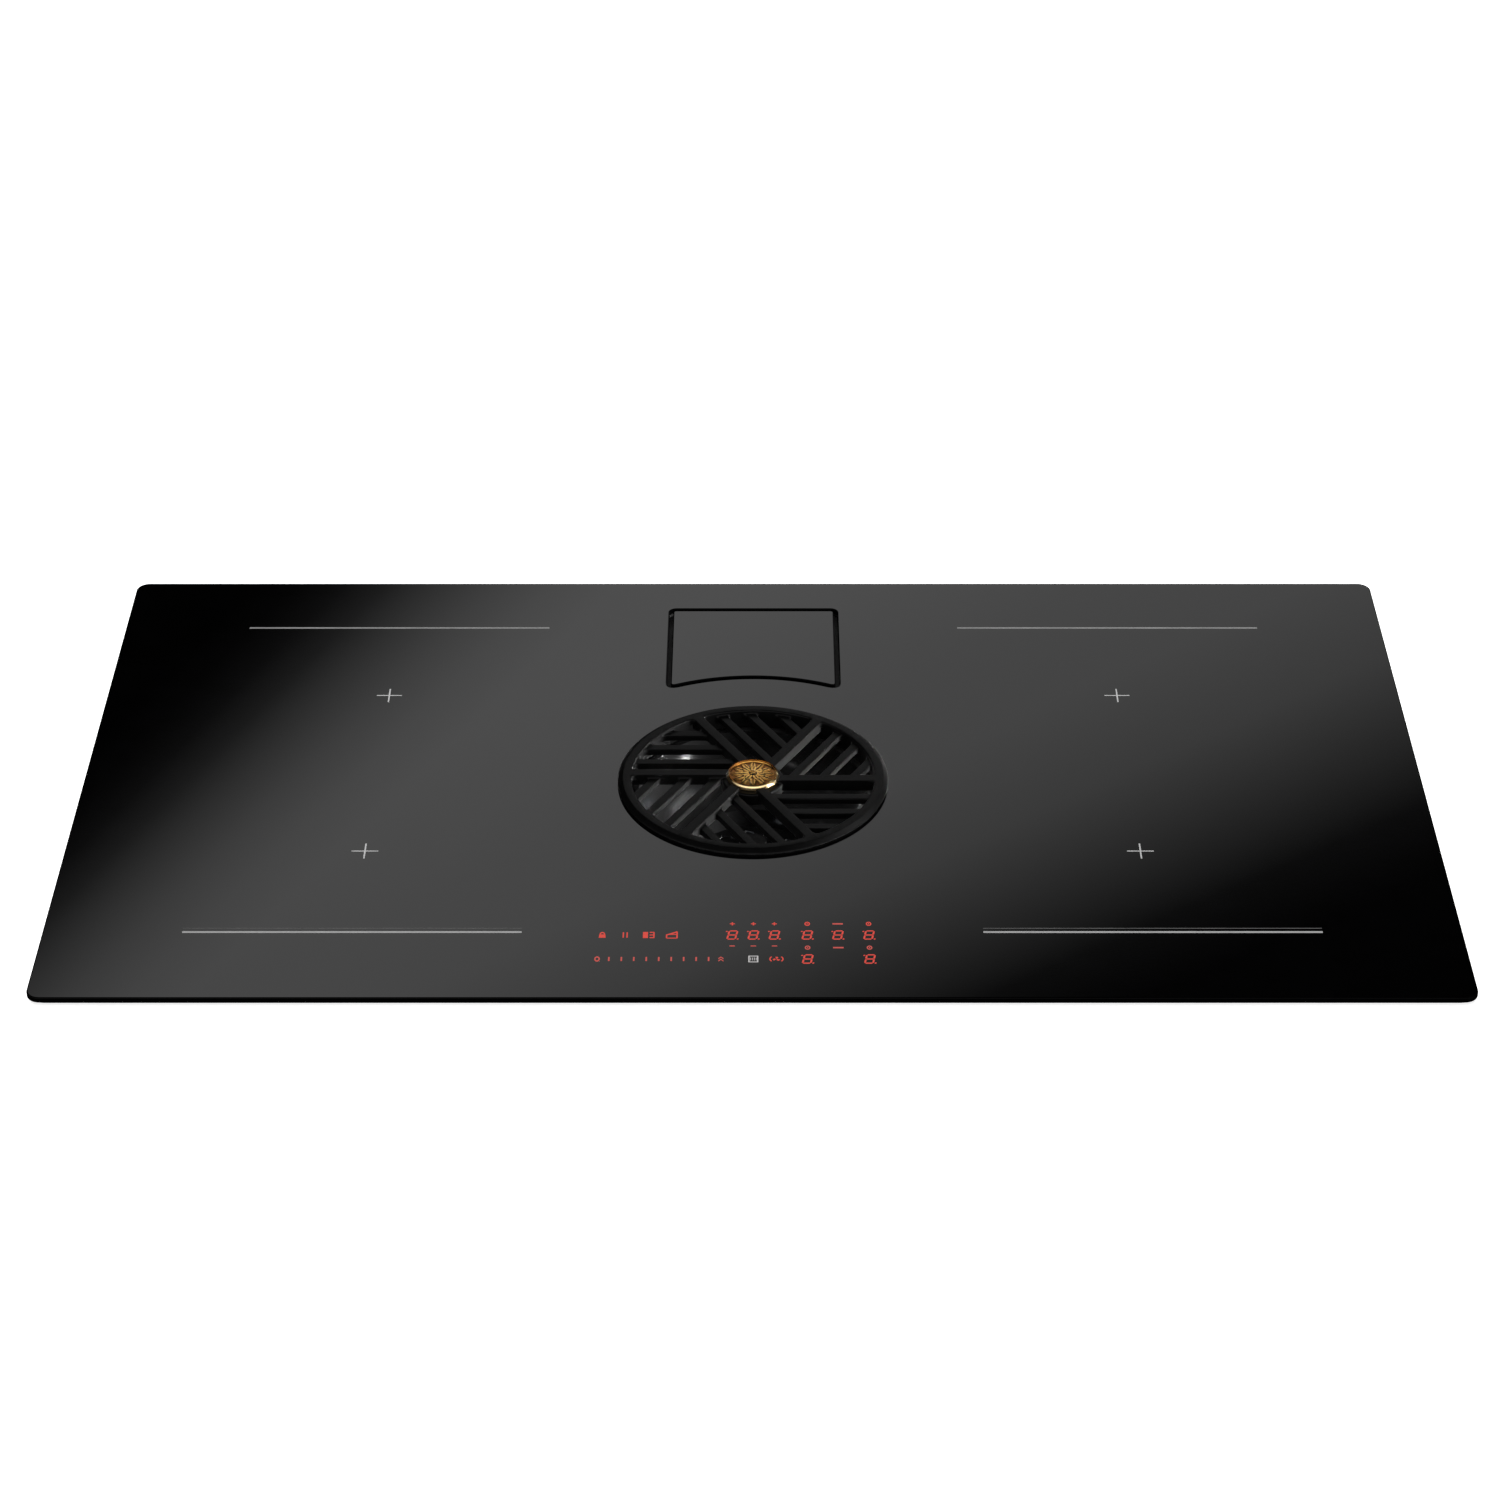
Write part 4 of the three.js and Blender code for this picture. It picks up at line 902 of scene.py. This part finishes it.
def make_well(m):
    foot, top, flange_r = WELL_LO[2], WELL_HI[2], WELL_HI[0]
    outer, seat_outer = WELL_INNER + WELL_WALL, WELL_SEAT_R + WELL_WALL
    outline = rounded_profile([
        (WELL_INNER, foot), (outer, foot), (outer, WELL_SEAT_Z - 4 * MM), (seat_outer, WELL_SEAT_Z - 2 * MM),
        (seat_outer, top - WELL_FLANGE), (flange_r, top - WELL_FLANGE), (flange_r, top),
        (WELL_SEAT_R, top), (WELL_SEAT_R, WELL_SEAT_Z), (WELL_INNER, WELL_SEAT_Z)], 0.4 * MM)
    well = turned("moulded_well", outline, 0, AXIS_Y, m["black_plastic"], 160, 40)
    stands_for(well, "intake_well", "hob")


# ------------------------------------------------------------------ small fittings below the glass

FAN_BOX_LO, FAN_BOX_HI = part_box("fan_box")
TRAY_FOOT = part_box("base_tray")[0][2]
SCREW_R, SCREW_HEAD = 3.6 * MM, 1.8 * MM
TRAY_SCREWS_X = (-414, -300, -186, 186, 284, 414)
TRAY_SCREWS_Y = (-224, -96, 60, 150, 224)
COOLER_SCREW_INSET, COVER_SCREW_INSET, COVER_SCREW_R = 4.3 * MM, 6 * MM, 2.8 * MM
RIB_PITCH, RIB_WIDTH, RIB_PROUD = 27 * MM, 2.4 * MM, 1.6 * MM
RIB_SINK, RIB_START, RIB_END = 0.3 * MM, 24 * MM, 20 * MM
RIB_FOOT, RIB_TOP = 8 * MM, 150 * MM
RIBS_AT_ENDS = (-146, -130, 130, 146)
TYPE_PLATE, TYPE_PLATE_THICK = (-400, -60, -310, -10), 0.3 * MM
GUARD_WIRE, GUARD_ARM = 0.7 * MM, (8 * MM, 47 * MM)
GUARD_RINGS = (9, 16, 23, 30, 37, 41.5)


def fitting(bm, name, material):
    """Makes an object of bm that rides on the fixed body."""
    obj = to_object(bm, name, material, 40)
    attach(obj, "hob")
    return obj


def screw_head(bm, x, y, z, r=SCREW_R):
    """A domed head that hangs below z, with a hollow for the driver."""
    low = z - SCREW_HEAD
    outline = [(r * 0.02, z), (r, z), (r, z - SCREW_HEAD * 0.35), (r * 0.86, z - SCREW_HEAD * 0.72),
               (r * 0.6, low), (r * 0.42, low), (r * 0.34, low + SCREW_HEAD * 0.55),
               (r * 0.02, low + SCREW_HEAD * 0.55)]
    add_lathe(bm, outline, x, y, 24)


def corner_screws(bm, node, inset, z, r):
    lo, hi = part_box(node)
    for x in (lo[0] + inset, hi[0] - inset):
        for y in (lo[1] + inset, hi[1] - inset):
            screw_head(bm, x, y, z, r)


def make_screws(m):
    bm = bmesh.new()
    for x in TRAY_SCREWS_X:
        for y in TRAY_SCREWS_Y:
            near_edge = abs(x) == max(TRAY_SCREWS_X) or abs(y) == max(TRAY_SCREWS_Y)
            if near_edge:
                screw_head(bm, x * MM, y * MM, TRAY_FOOT)
    for side in ("left", "right"):
        corner_screws(bm, f"cooler_frame_{side}", COOLER_SCREW_INSET, TRAY_FOOT, SCREW_R)
    fitting(bm, "tray_screws", m["lacquered_steel"])
    bm = bmesh.new()
    corner_screws(bm, "terminal_cover", COVER_SCREW_INSET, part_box("terminal_cover")[0][2], COVER_SCREW_R)
    fitting(bm, "terminal_cover_screws", m["lacquered_steel"])


def make_fan_guards(m):
    """A round wire guard over each cooling opening in the tray's floor."""
    for side in ("left", "right"):
        lo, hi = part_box(f"cooler_frame_{side}")
        cx, cy = (lo[0] + hi[0]) / 2, (lo[1] + hi[1]) / 2
        z = TRAY_FOOT - GUARD_WIRE
        bm = bmesh.new()
        for r in GUARD_RINGS:
            add_lathe(bm, ring(r * MM, z - GUARD_WIRE, GUARD_WIRE, 8), cx, cy, 72)
        arm = bar((GUARD_ARM[0] + GUARD_ARM[1]) / 2, 0, GUARD_ARM[1] - GUARD_ARM[0], 2 * GUARD_WIRE)
        for k in range(4):
            angle = math.radians(45 + 90 * k)
            add_prism(bm, rotated(arm, angle, cx, cy), z - GUARD_WIRE, z + GUARD_WIRE * 0.9)
        fitting(bm, f"fan_guard_{side}", m["lacquered_steel"])


def make_ribs(m):
    """Upright ribs that stiffen the walls of the fan box."""
    bm = bmesh.new()
    x0, y0 = FAN_BOX_LO[0], FAN_BOX_LO[1]
    x1, y1 = FAN_BOX_HI[0], FAN_BOX_HI[1]
    thick, middle = RIB_PROUD + RIB_SINK, (RIB_PROUD - RIB_SINK) / 2
    along_sides = [y0 + RIB_START + i * RIB_PITCH for i in range(13)]
    for y in (v for v in along_sides if v < y1 - RIB_END):
        for edge, out in ((x0, -1), (x1, 1)):
            add_prism(bm, bar(edge + out * middle, y, thick, RIB_WIDTH), RIB_FOOT, RIB_TOP)
    for x in RIBS_AT_ENDS:
        for edge, out in ((y0, -1), (y1, 1)):
            add_prism(bm, bar(x * MM, edge + out * middle, RIB_WIDTH, thick), RIB_FOOT, RIB_TOP)
    ribs = fitting(bm, "fan_box_ribs", m["black_plastic"])
    soft = ribs.modifiers.new("soft_edge", "BEVEL")
    soft.width = 0.4 * MM
    soft.segments = 2


def make_type_plate(m):
    """A blank silver type plate under the tray."""
    outline = round_rect(*(v * MM for v in TYPE_PLATE), 3 * MM)
    label = plate("blank_type_plate", [outline], TRAY_FOOT - TYPE_PLATE_THICK, TRAY_FOOT, m["aluminium"],
                  0.08 * MM)
    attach(label, "hob")


# ------------------------------------------------------------------ the CAD nodes that stay

NODE_LOOKS = {
    "glass_seal": "foam", "base_tray": "zinc", "worktop_clamp": "steel", "coil_former": "grey_plastic",
    "coil_winding": "copper", "glass_sensor": "silicone", "coil_plate": "aluminium", "mica_sheet": "mica",
    "power_board": "board", "heatsink": "aluminium", "cooler_frame": "black_plastic",
    "cooler_rotor": "grey_plastic", "touch_cradle": "black_plastic", "touch_board": "board",
    "display_block": "grey_plastic", "terminal_box": "black_plastic", "terminal_cover": "black_plastic",
    "cable_gland": "black_plastic", "scale_carrier": "aluminium", "scale_gutter": "silicone",
    "load_cell_post": "zinc", "load_cell": "aluminium", "grille_gasket": "silicone",
    "filter_screen": "lacquered_steel", "filter_knob": "black_plastic",
    "fan_box": "black_plastic", "fan_box_cover": "black_plastic", "air_deck": "black_plastic",
    "impeller": "grey_plastic", "motor_stator": "steel", "motor_shaft": "steel",
    "inlet_ring": "black_plastic", "fan_scroll": "black_plastic", "duct_spigot": "black_plastic",
    "spill_tank": "tank_plastic",
}
SOFT_EDGE = {"base_tray": 0.35, "fan_box": 0.9, "fan_box_cover": 0.7, "spill_tank": 0.8, "duct_spigot": 0.5,
             "terminal_box": 0.7, "terminal_cover": 0.7, "worktop_clamp": 0.5, "heatsink": 0.3}
REMADE = ("glass_top", "scale_plate", "grille", "medal_bezel", "medal_disc", "filter_bowl", "intake_well")


def look_of(name):
    keys = [k for k in NODE_LOOKS if name.startswith(k)]
    return max(keys, key=len)


def finish_nodes(m):
    for name, obj in NODES.items():
        if name in REMADE:
            continue
        key = look_of(name)
        material = m[NODE_LOOKS[key]]
        if obj.material_slots:
            for held in obj.material_slots:
                held.link = "OBJECT"
                held.material = material
        else:
            obj.data.materials.append(material)
        width = SOFT_EDGE.get(key)
        if width:
            bevel = obj.modifiers.new("soft_edge", "BEVEL")
            bevel.width = width * MM
            bevel.segments = 2
            bevel.limit_method = "ANGLE"
            bevel.angle_limit = math.radians(50)
            bevel.harden_normals = True


# ------------------------------------------------------------------ floor, light and camera

def make_floor():
    """A pale floor at the height of the worktop, with the cut-out that the hob hangs in."""
    reach = 16.0
    tray_lo, tray_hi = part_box("base_tray")
    play = 4 * MM
    x0, x1 = tray_lo[0] - play, tray_hi[0] + play
    y0, y1 = tray_lo[1] - play, tray_hi[1] + play
    bm = bmesh.new()
    outer = [bm.verts.new(p) for p in ((-reach, -reach, 0), (reach, -reach, 0), (reach, reach, 0),
                                       (-reach, reach, 0))]
    inner = [bm.verts.new(p) for p in ((x0, y0, 0), (x1, y0, 0), (x1, y1, 0), (x0, y1, 0))]
    for i in range(4):
        k = (i + 1) % 4
        bm.faces.new((outer[i], outer[k], inner[k], inner[i]))
    n = Nodes("pale_floor").fixed(Roughness=0.9, Specular_IOR_Level=0.0)
    n.link(n.tones(n.noise(3), grey(0.90), grey(0.92)), n.shader.inputs["Base Color"])
    n.link(n.tones(n.noise(3), grey(0.98), grey(1.0)), n.shader.inputs["Emission Color"])
    n.fixed(Emission_Strength=0.8)
    floor = to_object(bm, "floor", n.mat)
    floor.location.z = WORKTOP_Z - 0.4 * MM
    floor.visible_glossy = False


def glowing(name):
    """A material that only glows: its nodes, its emission node and its split coordinates."""
    n = Nodes(name)
    n.tree.nodes.remove(n.shader)
    glow = n.node("ShaderNodeEmission")
    n.link(glow.outputs[0], n.tree.nodes["Material Output"].inputs["Surface"])
    split = n.node("ShaderNodeSeparateXYZ")
    n.link(n.coords, split.inputs[0])
    return n, glow, split


def soft_card():
    """A large soft light behind the hob, brightest at its lower left, which the glass mirrors."""
    n, glow, split = glowing("soft_card")

    def slanted(x_factor, z_factor, stops):
        """A ramp along one slanting direction, from (distance, brightness) stops."""
        across = n.math("MULTIPLY", split.outputs["X"], x_factor)
        along = n.math("MULTIPLY_ADD", split.outputs["Z"], z_factor, across)
        low, high = stops[0][0], stops[-1][0]
        scaled = [((at - low) / (high - low), grey(value)) for at, value in stops]
        return n.ramp(n.spanned(along, low, high), scaled)

    left = slanted(1.0, 0.93, CARD_LEFT_FADE)
    right = slanted(0.55, 1.0, CARD_RIGHT_FADE)
    n.link(n.math("MULTIPLY", left, right), glow.inputs["Strength"])
    y, x_half, z0, z1 = 4.0, 2.6, 1.0, 4.4
    bm = bmesh.new()
    bm.faces.new([bm.verts.new(p) for p in ((-x_half, y, z0), (x_half, y, z0), (x_half, y, z1),
                                            (-x_half, y, z1))])
    reflections_only(to_object(bm, "soft_card", n.mat))


def studio_dome():
    """A dome of soft light round the front and sides, which only reflections see."""
    n, glow, split = glowing("studio_dome")
    forward = n.ramp(n.spanned(split.outputs["Y"], DOME_R * 0.22, -DOME_R * 0.75),
                     [(0.0, grey(0)), (0.3, grey(0.3)), (1.0, grey(1))])
    upward = n.ramp(n.spanned(split.outputs["Z"], 0, DOME_R),
                    [(0.0, grey(1)), (0.45, grey(0.9)), (0.62, grey(0.3)), (0.8, grey(0.04))])
    both = n.math("MULTIPLY", forward, upward)
    n.link(n.math("MULTIPLY", both, DOME_LIGHT), glow.inputs["Strength"])
    bm = bmesh.new()
    bmesh.ops.create_uvsphere(bm, u_segments=48, v_segments=24, radius=DOME_R)
    away = [v for v in bm.verts if v.co.z < -0.05 * DOME_R or v.co.y > 0.25 * DOME_R]
    bmesh.ops.delete(bm, geom=away, context="VERTS")
    dome = to_object(bm, "studio_dome", n.mat)
    dome.location = (0, 0, WORKTOP_Z)
    reflections_only(dome)


def reflections_only(obj):
    obj.visible_camera = False
    obj.visible_diffuse = False
    obj.visible_shadow = False


def soft_light(name, position, target, width, height, power):
    data = bpy.data.lights.new(name, "AREA")
    data.shape = "RECTANGLE"
    data.size = width
    data.size_y = height
    data.energy = power
    obj = bpy.data.objects.new(name, data)
    bpy.context.scene.collection.objects.link(obj)
    obj.location = position
    obj.rotation_euler = (Vector(target) - Vector(position)).to_track_quat("-Z", "Y").to_euler()
    return obj


def sun_light(name, direction, strength, spread):
    data = bpy.data.lights.new(name, "SUN")
    data.energy = strength
    data.angle = math.radians(spread)
    obj = bpy.data.objects.new(name, data)
    bpy.context.scene.collection.objects.link(obj)
    obj.rotation_euler = Vector(direction).to_track_quat("-Z", "Y").to_euler()
    return obj


def glint(name, position, target, width, height, power):
    """A light that only reflections show and nothing shades, as a studio picture is retouched."""
    light = soft_light(name, position, target, width, height, power)
    light.data.use_shadow = False
    light.data.cycles.use_multiple_importance_sampling = False
    light.visible_diffuse = False


def make_lights():
    world = bpy.data.worlds.new("studio")
    bpy.context.scene.world = world
    world.use_nodes = True
    background = world.node_tree.nodes["Background"]
    background.inputs["Color"].default_value = (1, 1, 1, 1)
    background.inputs["Strength"].default_value = 0.40
    world.cycles_visibility.glossy = False
    side = sun_light("side_light", (-1, -0.14, 0.12), 14, 20)
    side.data.use_shadow = False
    side.visible_glossy = False
    top = sun_light("top_light", (0.08, -0.22, -1), 2.8, 60)
    top.visible_glossy = False
    middle = (0, AXIS_Y, GLASS_TOP - 20 * MM)
    glint("side_strip", (1.5, -0.52, 0.02), middle, 0.25, 0.7, 10)
    glint("bowl_light", (1.54, -0.28, -0.14), middle, 0.8, 0.15, 3.8)
    glint("low_right", (1.1, 0.62, -0.6), middle, 0.8, 0.8, 2.3)
    glint("low_back_right", (0.85, 1.3, -0.1), middle, 0.7, 0.4, 2.2)
    glint("low_back_left", (-0.75, 1.3, -0.25), middle, 0.6, 0.4, 0.8)
    glint("high_right", (1.3, 0.38, 1.5), middle, 0.9, 0.9, 6.0)


def make_camera():
    """At the height and distance that the glass's outline gives, with the lens that fits it."""
    data = bpy.data.cameras.new("camera")
    camera = bpy.data.objects.new("camera", data)
    bpy.context.scene.collection.objects.link(camera)
    bpy.context.scene.camera = camera
    in_front, above, pitch_down = 1.8825, 1.3882, 32.65
    camera.location = (0.005, GLASS_LO[1] - in_front, GLASS_TOP + above)
    camera.rotation_euler = (math.radians(90 - pitch_down), 0, 0)
    data.sensor_width = 36
    data.lens = 90.67
    data.shift_x = -0.0069


def main():
    bpy.context.scene.view_settings.view_transform = "Standard"
    make_camera()
    m = make_materials()
    make_glass(m)
    make_zone_print(m)
    make_controls(m)
    make_grille(m)
    make_bezel(m)
    make_medal(m)
    make_bowl(m)
    make_well(m)
    finish_nodes(m)
    make_screws(m)
    make_fan_guards(m)
    make_ribs(m)
    make_type_plate(m)
    make_floor()
    soft_card()
    studio_dome()
    make_lights()


main()
